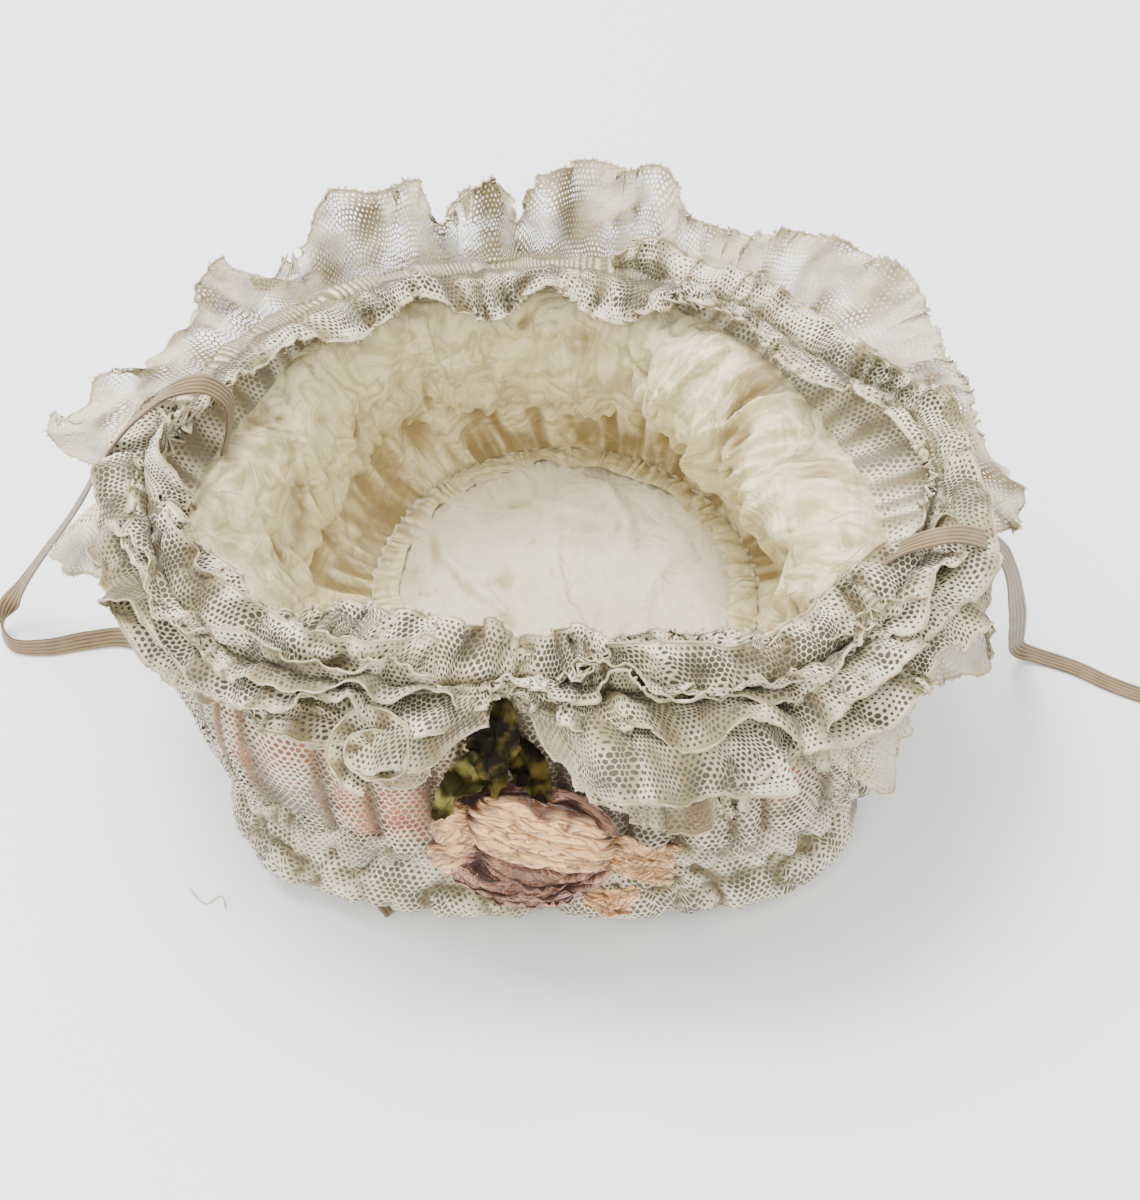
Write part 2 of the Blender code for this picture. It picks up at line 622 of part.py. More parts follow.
def lining_shoulder(degrees):
    """Where the lining's side turns upright, level with the foot of the silk roll."""
    edge = lining_edge_point(degrees)
    top = polar(degrees, head_radius(degrees), 0)
    share = around(SIDE_TABLE, "shoulder", degrees)
    height = head_height(degrees) - HEAD_ROLL_HEIGHT - 3 * MM
    point = Vector((edge.x, edge.y, 0)).lerp(top, share)
    return Vector((point.x, point.y, height))


def make_lining_side():
    """Gathered silk between the tip and the opening."""
    seat = GAP + SILK_WALL / 2

    def edge(a):
        return lining_edge_point(a, seat)

    def low(a):
        fold = ripple(a, 16, 0.7 * MM) + ripple(a, 9, 0.5 * MM, 25)
        point = edge(a).lerp(lining_shoulder(a), 0.42)
        return point + outward(a) * (fold + 1.5 * MM) - Vector((0, 0, 3.5 * MM))

    def top(a):
        return polar(a, head_radius(a), head_height(a) - 0.6 * MM)

    grid = ring_grid([edge, low, lining_shoulder, top], ROUND_STEPS)
    cloth("lining_side", grid, SILK_WALL, SILK)


def make_tip_seam():
    """Crimped selvage standing on the seam round the tip."""
    def middle(a):
        point = tip_point(a, 1.0, TIP_HEIGHT + GAP + SEAM_WIDTH * 0.5)
        return point - outward(a) * SEAM_WIDTH * 0.65

    return tube_ring("tip_seam", middle, lambda a: SEAM_WIDTH / 2 * (0.8 + ripple(a, 16, 0.15)),
                     lambda a: SEAM_WIDTH * 0.32, lambda a: 0.0, ROUND_STEPS, 4, SILK)


def make_head_roll():
    """Silk head band: a fat padded roll on the right, nearly flat elsewhere."""
    def fullness(a):
        return HEAD_ROLL_FULLNESS * around(SIDE_TABLE, "fullness", a)

    def wall_line(a):
        top = polar(a, head_radius(a), head_height(a) - 0.6 * MM)
        return lining_shoulder(a), top

    def lean(a):
        low, top = wall_line(a)
        run = top - low
        return math.degrees(math.atan2(run.dot(outward(a)), run.z))

    def middle(a):
        low, top = wall_line(a)
        run = (top - low).normalized()
        inward = -(outward(a) * run.z - Vector((0, 0, 1)) * run.dot(outward(a)))
        back = SILK_WALL / 2 + LAYER_GAP + fullness(a) / 2
        return top - run * (HEAD_ROLL_HEIGHT / 2) + inward * back

    return tube_ring("head_roll", middle, lambda a: HEAD_ROLL_HEIGHT / 2, lambda a: fullness(a) / 2,
                     lean, ROUND_STEPS, 8, SILK)


def make_brim_facing():
    """Pleated net facing from the silk out to the rim."""
    def inner(a):
        return polar(a, head_radius(a) + 0.7 * MM, head_height(a) + 0.6 * MM)

    def middle(a):
        pleat = ripple(a, 16, 0.35 * MM)
        point = inner(a).lerp(rim(a), 0.5)
        return point - Vector((0, 0, 0.6 * MM + pleat))

    def rim(a):
        return polar(a, rim_radius(a), rim_height(a))

    grid = ring_grid([inner, middle, rim], ROUND_STEPS)
    return cloth("brim_facing", grid, NET_WALL, NET)


def casing_middle(degrees):
    """Middle of the gathered casing that sits on the rim."""
    seat = NET_WALL / 2 + GAP + CASING_DEPTH / 2
    return polar(degrees, rim_radius(degrees) - CASING_WIDTH * 0.2, rim_height(degrees) + seat)


def make_rim_casing():
    """Ribbed casing all round the rim, the seat of both ruffles."""
    return tube_ring("rim_casing", casing_middle, lambda a: CASING_DEPTH / 2,
                     lambda a: CASING_WIDTH / 2, lambda a: 0.0, ROUND_STEPS, 6, NET)


def frill_stations(table, width, side, closed=True):
    """Stations of a frill from the casing to its free edge.

    side is -1 on the casing's inner side, 1 on its outer side and 0 on top.
    """
    stand = CASING_WIDTH / 2 + GAP + NET_WALL / 2
    lift = CASING_DEPTH / 2 + GAP + NET_WALL / 2 if side == 0 else 0.4 * MM

    def value(column, a):
        if closed:
            return around(table, column, a)
        first, last = table[0].degrees, table[-1].degrees
        return along(table, column, (a - first) / (last - first))

    def root(a):
        seat = casing_middle(a)
        return seat + outward(a) * (side * stand) + Vector((0, 0, lift))

    def reach(share):
        def point(a):
            out = width * value("out", a) * share
            up = width * value("up", a) * share
            bow = width * value("bow", a) * math.sin(math.pi * share)
            start = root(a)
            turned = a + value("swing", a) * share
            return polar(turned, start.xy.length + out, start.z + up + bow)
        return point

    return [root, reach(0.34), reach(0.68), reach(1.0)]


def make_ruffles():
    """Wide net ruffle, narrow lace frill and the lace heaped on the front rim."""
    ruffle = ring_grid(frill_stations(RUFFLE_TABLE, RUFFLE_WIDTH, 1), RUFFLE_STEPS)
    cloth("brim_ruffle", ruffle, NET_WALL, LACE)
    frill = ring_grid(frill_stations(FRILL_TABLE, FRILL_WIDTH, -1), FRILL_STEPS)
    cloth("inner_frill", frill, NET_WALL, LACE)
    for name, table in (("near_frill_left", NEAR_LEFT_TABLE), ("near_frill_right", NEAR_RIGHT_TABLE)):
        stations = frill_stations(table, NEAR_FRILL_WIDTH, 0, closed=False)
        steps = 2 * (len(table) - 1)
        strip = ring_grid(stations, steps, table[0].degrees, table[-1].degrees)
        cloth(name, strip, NET_WALL, LACE, closed=False)


def ruffle_surface(degrees, share):
    """Point on the wide ruffle, for what lies on it."""
    stations = frill_stations(RUFFLE_TABLE, RUFFLE_WIDTH, 1)
    low, high = stations[1](degrees), stations[2](degrees)
    return low.lerp(high, share)


def make_lace_curl():
    """Flat spiral of lace that lies on the ruffle left of the rose."""
    degrees = 243
    seat = ruffle_surface(degrees, 0.6)
    facing = (outward(degrees + 8) * 0.75 + Vector((0, 0, 0.66))).normalized()
    side = Vector((0, 0, 1)).cross(facing).normalized()
    rise = facing.cross(side)
    middle = seat + facing * (NET_WALL / 2 + LAYER_GAP + CURL_STRIP * 0.5 + 2.8 * MM)
    steps = 24
    grid = []
    for i in range(steps + 1):
        share = i / steps
        turn = 2 * math.pi * CURL_TURNS * share
        radius = CURL_RADIUS * (0.22 + 0.78 * share)
        spoke = side * math.cos(turn) + rise * math.sin(turn)
        point = middle + spoke * radius
        grid.append([point - facing * CURL_STRIP * 0.5, point + facing * CURL_STRIP * 0.5])
    return cloth("lace_curl", grid, NET_WALL, LACE, closed=False)


def rose_frame():
    """Middle of the rose's back and its right, up and outward directions, seated on the side."""
    lean = math.radians(ROSE_LEAN)
    face = outward(ROSE_ANGLE) * math.cos(lean) + Vector((0, 0, math.sin(lean)))
    across = Vector((0, 0, 1)).cross(outward(ROSE_ANGLE))
    rise = face.cross(across)
    middle = Vector((0, 0, ROSE_MIDDLE_Z))
    reach = 0.0
    for turn in range(-12, 13, 2):
        angle = ROSE_ANGLE + turn
        under = [side_point(share)(angle) for share in (0.0, 0.15, 0.30, 0.45)]
        under.append(roll_middle(angle) + outward(angle) * ROLL_WIDTH * 0.53)
        reach = max([reach] + [(point - middle).dot(face) for point in under])
    back = middle + outward(ROSE_ANGLE) * ((reach + NET_WALL / 2 + GAP) / math.cos(lean))
    return back, across, rise, face


def oval_cushion(name, middle, across, rise, face, half_wide, half_high, depth, steps, finish, flute=0.0):
    """Closed domed oval with a flat back."""
    rings = [(1.0, 0.0), (1.0, 0.45), (0.72, 0.85), (0.25, 1.0)]
    points = []
    for share, out in rings:
        for i in range(steps):
            turn = 2 * math.pi * i / steps
            wave = 1 + flute * math.cos(6 * turn) * share
            points.append(middle + across * half_wide * share * wave * math.cos(turn)
                          + rise * half_high * share * wave * math.sin(turn) + face * depth * out)
    faces = []
    for ring in range(len(rings) - 1):
        for i in range(steps):
            k = (i + 1) % steps
            faces.append((ring * steps + i, ring * steps + k, (ring + 1) * steps + k, (ring + 1) * steps + i))
    faces.append(tuple(range(steps)))
    faces.append(tuple((len(rings) - 1) * steps + i for i in range(steps)))
    return new_object(name, mesh_from(name, points, faces), finish)


def make_rose():
    """Crumpled silk rose: a domed core, folds across it, a broad top petal and a ribbon end."""
    back, across, rise, face = rose_frame()
    half_wide, half_high = ROSE_WIDTH / 2, ROSE_HEIGHT / 2
    oval_cushion("rose_core", back, across, rise, face, half_wide * 0.92, half_high * 0.94,
                 ROSE_DEPTH * 0.6, 24, ROSE, 0.03)
    front = back + face * (ROSE_DEPTH * 0.6 + GAP)
    for row in FOLD_TABLE:
        grid = []
        steps = 14
        for i in range(steps + 1):
            side = 2 * i / steps - 1
            span = half_wide * row.width * 0.80 * side
            sag = ROSE_HEIGHT * row.drop * math.cos(math.pi * side / 2)
            level = ROSE_HEIGHT * row.height * 0.9 - sag
            stand = PETAL_WALL / 2 + ROSE_DEPTH * (0.12 + 0.10 * math.cos(math.pi * side / 2))
            foot = front + across * span + rise * level + face * PETAL_WALL * 0.1
            lip = foot + face * stand * 1.8 + rise * PETAL_WALL * 1.6
            grid.append([foot, lip])
        cloth(row.name, grid, PETAL_WALL, ROSE, closed=False)
    petal = []
    steps = 12
    for i in range(steps + 1):
        side = 2 * i / steps - 1
        rows = []
        for share in (0.0, 0.35, 0.7, 1.0):
            narrow = 0.62 - 0.22 * (share - 0.45) ** 2
            crown = ROSE_DEPTH * (0.55 * math.sin(math.pi * (0.15 + 0.8 * share))
                                  * math.cos(math.pi * side / 2))
            rows.append(front + across * (half_wide * narrow * side + ROSE_WIDTH * 0.03)
                        + rise * half_high * (0.92 - 0.52 * share)
                        + face * (PETAL_WALL / 2 + LAYER_GAP + crown))
        petal.append(rows)
    cloth("rose_petal_top", petal, PETAL_WALL, ROSE, closed=False)
    ribbon = []
    for i in range(7):
        share = i / 6
        middle = back + across * (half_wide * 0.95 + GAP + RIBBON_LENGTH * 0.45 * share) \
            + face * (1.2 * MM + 1.2 * MM * math.sin(3 * share)) + rise * (half_high * (0.30 - 0.48 * share))
        ribbon.append([middle - rise * RIBBON_WIDTH * 0.5, middle, middle + rise * RIBBON_WIDTH * 0.5])
    cloth("rose_ribbon_end", ribbon, PETAL_WALL, ROSE, closed=False)


def make_leaves():
    """Velvet leaves tucked between the ruffle and the rose."""
    for row in LEAF_TABLE:
        root = polar(row.degrees, rim_radius(row.degrees) + LEAF_LENGTH * row.out,
                     rim_height(row.degrees) + LEAF_LENGTH * row.height)
        heading = outward(row.degrees + row.turn)
        droop = math.radians(row.droop)
        run = heading * math.cos(droop) - Vector((0, 0, math.sin(droop)))
        across = Vector((0, 0, 1)).cross(heading)
        length = LEAF_LENGTH * row.length
        grid = []
        for i in range(7):
            share = i / 6
            half = LEAF_WIDTH / 2 * (0.15 + 0.85 * math.sin(math.pi * min(share * 0.9 + 0.08, 1)) ** 0.8)
            middle = root + run * length * share
            lift = run.cross(across).normalized() * half * 0.25
            grid.append([middle - across * half + lift, middle, middle + across * half + lift])
        cloth(row.name, grid, LEAF_WALL, LEAF, closed=False)


def route_point(route, share, columns):
    """Smooth point or direction along a route."""
    return Vector([along(route, column, share) for column in columns])


def make_strap(name, route):
    """Flat elastic laid along a route, its width turned as the route's rows say."""
    last = STRAP_POINTS - 1
    centres = [route_point(route, i / last, ("x", "y", "z")) * MM for i in range(STRAP_POINTS)]
    grid = []
    for i, centre in enumerate(centres):
        run = (centres[min(i + 1, last)] - centres[max(i - 1, 0)]).normalized()
        wide = route_point(route, i / last, ("wide_x", "wide_y", "wide_z"))
        wide = (wide - run * wide.dot(run)).normalized()
        grid.append([centre - wide * STRAP_WIDTH / 2, centre + wide * STRAP_WIDTH / 2])
    cloth(name, grid, STRAP_THICKNESS, ELASTIC, closed=False)


def main():
    """Builds the bonnet, from the crown up to the straps."""
    clear_scene()
    make_crown_base()
    make_crown_roll()
    make_side_layers()
    make_lining_tip()
    make_tip_seam()
    make_lining_side()
    make_head_roll()
    make_brim_facing()
    make_rim_casing()
    make_ruffles()
    make_lace_curl()
    make_rose()
    make_leaves()
    make_strap("chin_strap_right", STRAP_RIGHT_ROUTE)
    make_strap("chin_strap_left", STRAP_LEFT_ROUTE)


main()
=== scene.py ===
"""Visual model of a child's lace bonnet that lies upside down on its crown.

Metres, +Z up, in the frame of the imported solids. Angles run counter-clockwise from +X, seen from
above; 270 degrees is the front, where the rose is. Every piece rides on the one body.
"""
import logging
import math
from collections.abc import Sequence
from dataclasses import dataclass, field
from enum import Enum
from typing import NamedTuple

import bpy
import numpy as np
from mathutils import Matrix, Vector


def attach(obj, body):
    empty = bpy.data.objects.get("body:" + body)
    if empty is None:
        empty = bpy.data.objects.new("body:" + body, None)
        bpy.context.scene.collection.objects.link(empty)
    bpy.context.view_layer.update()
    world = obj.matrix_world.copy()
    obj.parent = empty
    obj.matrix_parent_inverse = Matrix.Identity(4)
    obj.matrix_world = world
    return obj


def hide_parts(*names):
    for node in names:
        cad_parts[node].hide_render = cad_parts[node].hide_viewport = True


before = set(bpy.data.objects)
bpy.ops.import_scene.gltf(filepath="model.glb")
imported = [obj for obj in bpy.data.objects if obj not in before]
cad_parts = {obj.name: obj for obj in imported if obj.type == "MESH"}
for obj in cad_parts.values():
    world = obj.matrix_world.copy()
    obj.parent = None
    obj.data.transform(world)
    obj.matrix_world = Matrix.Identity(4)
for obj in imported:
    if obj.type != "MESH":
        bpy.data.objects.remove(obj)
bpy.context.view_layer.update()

MM = 0.001
BODY = "root"
Array = np.ndarray
Colour = tuple[float, float, float]
LOG = logging.getLogger("bonnet")


# ---- tables shared with the solids ----

class HeadRow(NamedTuple):
    """Opening's edge and brim at an angle, as shares of the outline's sizes."""

    degrees: float
    radius: float
    height: float
    brim_out: float
    brim_up: float


class SideRow(NamedTuple):
    """Crown, side and silk roll at an angle, as shares of the outline's sizes."""

    degrees: float
    radius: float
    belly: float
    shoulder: float
    fullness: float


class EdgeRow(NamedTuple):
    """Free edge of a frill: turn in degrees, then shares of the frill's width."""

    degrees: float
    swing: float
    out: float
    up: float
    bow: float


class StrapRow(NamedTuple):
    """Point of a strap's route in millimetres, and the direction of the band's width."""

    x: float
    y: float
    z: float
    wide_x: float
    wide_y: float
    wide_z: float


def rows_of(kind: type, text: str) -> list:
    """Reads rows of a kind from a table of numbers, one row a line."""
    return [kind(*map(float, line.split())) for line in text.strip().splitlines()]


HEAD_TABLE = rows_of(HeadRow, """
0 0.99 0.97 1.55 1.80
12 0.93 0.97 0.90 1.90
25 0.89 1.00 0.50 1.40
50 0.86 1.03 0.35 0.90
75 0.84 1.03 0.35 0.80
105 0.84 1.03 0.35 0.80
127 0.89 1.05 0.35 0.90
145 0.95 1.03 0.50 1.10
162 0.97 1.00 0.90 1.60
178 1.06 0.97 0.95 1.50
195 1.12 0.95 0.90 1.20
210 1.13 0.92 0.85 1.10
225 1.08 0.91 0.75 1.00
240 0.99 0.90 0.60 1.00
256 0.86 0.89 0.50 0.90
270 0.81 0.88 0.50 0.90
285 0.88 0.88 0.50 0.90
300 1.00 0.89 0.60 1.00
315 1.07 0.90 0.65 1.10
330 1.10 0.92 0.85 1.30
345 1.06 0.95 1.30 1.70
""")

SIDE_TABLE = rows_of(SideRow, """
0 0.98 0.10 0.95 1.00
30 0.97 0.05 0.90 0.95
55 0.96 0.00 0.90 0.70
75 0.96 0.00 0.90 0.35
95 0.96 0.00 0.90 0.20
130 0.96 0.05 0.80 0.18
160 0.96 0.15 0.62 0.20
185 1.02 0.35 0.60 0.22
207 1.10 0.45 0.62 0.20
223 1.12 0.30 0.70 0.18
240 1.04 0.15 0.75 0.18
256 0.96 0.05 0.80 0.18
272 0.93 0.00 0.80 0.18
288 0.98 0.05 0.80 0.20
304 1.07 0.10 0.80 0.35
318 1.12 0.15 0.82 0.60
338 1.06 0.15 0.90 0.90
""")

RUFFLE_TABLE = rows_of(EdgeRow, """
0 0 0.36 0.08 0.10
12 0 0.55 0.20 0.10
24 0 0.80 0.38 0.06
33 0 0.78 0.42 0.04
43 0 0.56 0.46 0.04
52 0 0.30 0.40 0.04
60 2 0.20 0.45 0.04
67 1 0.32 0.78 0.02
76 0 0.24 0.72 0.02
85 0 0.25 0.78 0.02
91 1 0.10 0.62 0.02
95 1 0.06 0.32 0.02
99 0 0.22 0.66 0.02
105 0 0.14 0.60 0.02
111 0 0.10 0.32 0.02
117 -1 0.14 0.70 0.02
123 -1 0.28 0.60 0.02
129 0 0.36 0.68 0.02
135 0 0.22 0.40 0.04
140 0 0.20 0.22 0.04
146 0 0.44 0.42 0.05
152 0 0.46 0.26 0.05
157 0 0.38 0.06 0.06
165 2 0.52 0.04 0.04
171 2 0.90 -0.12 -0.02
176 0 0.92 -0.22 -0.04
180 0 0.20 -0.25 -0.04
184 0 0.30 -0.35 0.02
188 0 0.76 -0.45 0.06
193 0 0.60 -0.62 0.12
198 0 0.38 -0.60 0.18
206 0 0.26 -0.52 0.20
216 0 0.22 -0.44 0.20
228 0 0.22 -0.42 0.20
240 0 0.28 -0.56 0.20
249 0 0.34 -0.68 0.18
256 0 0.24 -0.34 0.16
262 0 0.14 -0.06 0.10
268 1 0.24 -0.20 0.16
276 0 0.52 -0.42 0.20
287 0 0.56 -0.72 0.22
297 1 0.34 -0.72 0.24
303 0 0.24 -0.46 0.20
309 0 0.36 -0.60 0.20
315 0 0.62 -0.86 0.20
321 0 0.50 -0.58 0.18
327 0 0.34 -0.46 0.16
333 0 0.56 -0.62 0.18
338 0 0.34 -0.50 0.10
343 0 0.12 -0.34 0.04
347 0 0.26 -0.32 0.02
352 0 0.56 -0.32 0.02
356 0 0.42 -0.08 0.06
""")

FRILL_TABLE = rows_of(EdgeRow, """
0 0 -0.15 0.15 0.12
10 0 -0.25 0.15 0.12
17 0 -0.50 0.05 0.14
33 0 -0.20 0.10 0.14
45 0 -0.18 0.10 0.14
56 0 -0.22 0.05 0.14
65 0 -0.58 -0.30 0.16
76 0 -0.66 -0.34 0.16
90 0 -0.42 0.04 0.16
103 0 -0.62 -0.40 0.16
112 0 -0.56 -0.30 0.16
121 0 -0.28 -0.02 0.16
131 0 -0.48 -0.24 0.14
142 0 -0.62 -0.30 0.14
150 0 -0.44 -0.02 0.12
160 0 -0.40 0.02 0.06
172 0 -0.22 0.05 0.04
186 0 -0.05 0.30 0.05
198 0 -0.15 0.30 0.05
208 0 -0.70 0.10 0.08
217 0 -0.60 0.15 0.08
229 0 -1.10 0.20 0.08
243 0 -1.15 0.20 0.06
255 0 -0.60 0.12 0.06
266 0 -0.40 0.20 0.06
280 0 -0.55 0.20 0.06
293 0 -0.75 0.40 0.06
304 0 -0.70 0.35 0.06
316 0 -0.14 0.32 0.04
330 0 -0.06 0.22 0.02
345 0 -0.06 0.22 0.02
""")

NEAR_LEFT_TABLE = rows_of(EdgeRow, """
196 0 0.50 0.50 0.00
205 0 0.10 0.75 0.00
214 0 0.45 0.60 0.00
224 0 -0.10 0.80 0.00
234 0 0.30 0.80 0.00
244 0 -0.20 0.85 0.00
252 0 0.25 0.70 0.00
""")

NEAR_RIGHT_TABLE = rows_of(EdgeRow, """
272 0 0.30 0.60 0.00
281 0 -0.05 0.80 0.00
291 0 0.40 0.75 0.00
301 0 0.00 0.85 0.00
311 0 0.50 0.60 0.00
321 0 0.15 0.75 0.00
330 0 0.50 0.55 0.00
""")

STRAP_RIGHT_ROUTE = rows_of(StrapRow, """
66.6 -41.0 70.0 0.5 0.8 0.0
67.2 -40.2 77.0 0.5 0.8 0.0
69.0 -39.2 84.0 0.5 0.8 0.0
73.6 -38.2 89.2 0.4 0.9 0.0
80.0 -36.8 91.2 0.3 1.0 0.0
86.5 -35.2 90.5 0.3 1.0 0.0
92.9 -32.8 86.0 0.3 1.0 0.0
98.1 -29.3 78.0 0.4 0.9 0.1
102.3 -25.0 67.0 0.5 0.8 0.2
107.4 -16.2 50.0 0.7 0.6 0.1
112.4 -6.7 32.0 0.8 0.5 0.0
116.5 2.5 15.0 0.8 0.5 0.0
119.5 7.5 4.5 0.7 0.7 0.0
125.5 7.8 0.9 0.2 1.0 0.0
133.9 4.2 0.6 0.4 0.9 0.0
141.8 -1.0 0.6 0.4 0.9 0.0
149.8 -4.9 0.6 0.4 0.9 0.0
158.5 -7.0 0.6 0.2 1.0 0.0
""")

STRAP_LEFT_ROUTE = rows_of(StrapRow, """
-73.0 7.6 73.6 0.2 1.0 0.0
-71.0 8.0 81.0 0.2 1.0 0.0
-70.6 8.6 88.0 0.3 1.0 0.0
-75.1 7.8 93.4 0.4 0.9 0.0
-81.7 4.4 94.6 0.4 0.9 0.0
-88.6 -0.2 91.5 0.4 0.9 0.0
-94.6 -2.6 85.5 0.3 0.9 0.0
-100.0 -1.4 76.5 0.1 1.0 0.1
-106.4 4.7 62.0 0.2 0.9 0.3
-115.3 12.1 44.0 0.3 0.8 0.4
-125.6 17.6 26.0 0.3 0.7 0.6
-133.8 19.8 12.0 0.2 0.5 0.8
-138.6 16.6 5.0 0.1 0.2 1.0
-135.4 10.2 2.8 0.0 0.1 1.0
-126.6 9.2 2.6 0.0 0.3 0.9
-116.5 11.6 2.5 0.0 0.5 0.8
-107.0 13.0 2.2 0.1 0.7 0.6
-98.0 9.6 1.4 0.3 0.9 0.3
-89.0 1.6 0.7 0.6 0.8 0.1
-79.0 -10.4 0.6 0.7 0.7 0.0
-67.5 -25.0 0.6 0.8 0.6 0.0
-56.0 -39.8 0.6 0.8 0.6 0.0
-45.5 -53.2 0.6 0.8 0.6 0.0
-38.2 -63.0 0.7 0.8 0.6 0.1
-34.4 -68.6 1.4 0.8 0.5 0.3
""")


# ---- numbers and noise ----

def cubic(before: Array, start: Array, end: Array, after: Array, share: Array) -> Array:
    """Catmull-Rom value between two of four values in a row.

    Args:
        before: Value ahead of the stretch.
        start: Value at its start.
        end: Value at its end.
        after: Value past it.
        share: Places on the stretch, from 0 to 1.

    Returns:
        Values of the shape that all of these broadcast to.
    """
    return 0.5 * (2 * start + (end - before) * share
                  + (2 * before - 5 * start + 4 * end - after) * share ** 2
                  + (3 * start - before - 3 * end + after) * share ** 3)


def ring_value(table: Sequence[NamedTuple], column: str, degrees: Array) -> Array:
    """Smooth value of one column of a table that closes round the bonnet.

    Args:
        table: Rows with a degrees column, in rising order.
        column: The column's name.
        degrees: Angles, of any shape.

    Returns:
        Values of the same shape.
    """
    angles = np.array([row.degrees for row in table])
    values = np.array([getattr(row, column) for row in table])
    wrapped = (np.asarray(degrees, float) - angles[0]) % 360 + angles[0]
    index = np.searchsorted(angles, wrapped, side="right") - 1
    ends = np.append(angles[1:], angles[0] + 360)
    share = (wrapped - angles[index]) / (ends[index] - angles[index])
    count = len(table)
    picked = [values[(index + step) % count] for step in (-1, 0, 1, 2)]
    return cubic(*picked, share)


def open_value(table: Sequence[NamedTuple], column: str, degrees: Array) -> Array:
    """Smooth value of one column of a table with two ends.

    Args:
        table: Rows with an even degrees column.
        column: The column's name.
        degrees: Angles, of any shape.

    Returns:
        Values of the same shape.
    """
    values = np.array([getattr(row, column) for row in table])
    first, last = table[0].degrees, table[-1].degrees
    return run_through(values[:, None], (np.asarray(degrees, float) - first) / (last - first))[..., 0]


def run_through(rows: Array, share: Array) -> Array:
    """Smooth points on a run of evenly spaced rows.

    Args:
        rows: Values to pass through, first axis along the run.
        share: Places from 0 to 1, of any shape.

    Returns:
        Values with the shape of share, then that of a row.
    """
    last = len(rows) - 1
    place = np.clip(share, 0, 1) * last
    index = np.minimum(place.astype(int), last - 1)
    picked = [rows[np.clip(index + step, 0, last)] for step in (-1, 0, 1, 2)]
    part = (place - index).reshape(place.shape + (1,) * (rows.ndim - 1))
    return cubic(*picked, part)


def cell_value(cells: Array, seed: int) -> Array:
    """Repeatable values for whole-number cells.

    Args:
        cells: Cells, last axis x, y, z.
        seed: Picks another set.

    Returns:
        A value from -1 to 1 for each cell.
    """
    x, y, z = (cells[..., axis] for axis in range(3))
    mixed = x * 73856093 ^ y * 19349663 ^ z * 83492791 ^ seed * 40503
    mixed = (mixed ^ mixed >> 13) * 60493 & 0x7FFFFFFF
    mixed = (mixed ^ mixed >> 15) * 48271 & 0x7FFFFFFF
    return mixed / 0x3FFFFFFF - 1.0


def noise(points: Array, seed: int = 0) -> Array:
    """Smooth noise from -1 to 1, about one bump to a unit.

    Args:
        points: Places, last axis x, y, z.
        seed: Picks another noise.

    Returns:
        A value for each place.
    """
    floor = np.floor(points).astype(np.int64)
    part = points - floor
    part = part ** 3 * (part * (part * 6 - 15) + 10)
    total = np.zeros(points.shape[:-1])
    for corner in np.ndindex(2, 2, 2):
        step = np.array(corner)
        weight = np.prod(np.where(step == 1, part, 1 - part), axis=-1)
        total += weight * cell_value(floor + step, seed)
    return total


def fractal(points: Array, octaves: int = 3, seed: int = 0) -> Array:
    """Noise of several sizes, from about -1 to 1."""
    layers = [noise(points * 2 ** k + 31.7 * k, seed + k) * 0.5 ** k for k in range(octaves)]
    return sum(layers) / (2 - 0.5 ** (octaves - 1))


def puffs(points: Array, octaves: int = 2, seed: int = 0) -> Array:
    """Rounded puffs between sharp creases, from 0 in a crease to about 1."""
    layers = [np.abs(noise(points * 2 ** k + 31.7 * k, seed + k)) * 0.5 ** k for k in range(octaves)]
    return np.clip(sum(layers) * 1.3, 0, 1.4)


def ease(value: Array, low: float, high: float) -> Array:
    """Smooth step from 0 at low to 1 at high."""
    part = np.clip((value - low) / (high - low), 0, 1)
    return part * part * (3 - 2 * part)


def stacked(x: Array, y: Array, z: Array) -> Array:
    """Points from three parts that broadcast together."""
    return np.stack(np.broadcast_arrays(x, y, z), axis=-1)


def polar(degrees: Array, radius: Array, height: Array) -> Array:
    """Points at angles, radii and heights that broadcast together."""
    turn = np.radians(degrees)
    return stacked(radius * np.cos(turn), radius * np.sin(turn), height)


def outward(degrees: Array) -> Array:
    """Level directions away from the bonnet's middle."""
    return polar(degrees, 1.0, 0.0)


def unit(vectors: Array) -> Array:
    """Vectors brought to length 1."""
    return vectors / np.maximum(np.linalg.norm(vectors, axis=-1, keepdims=True), 1e-12)


UP = np.array([0.0, 0.0, 1.0])


# ---- materials ----

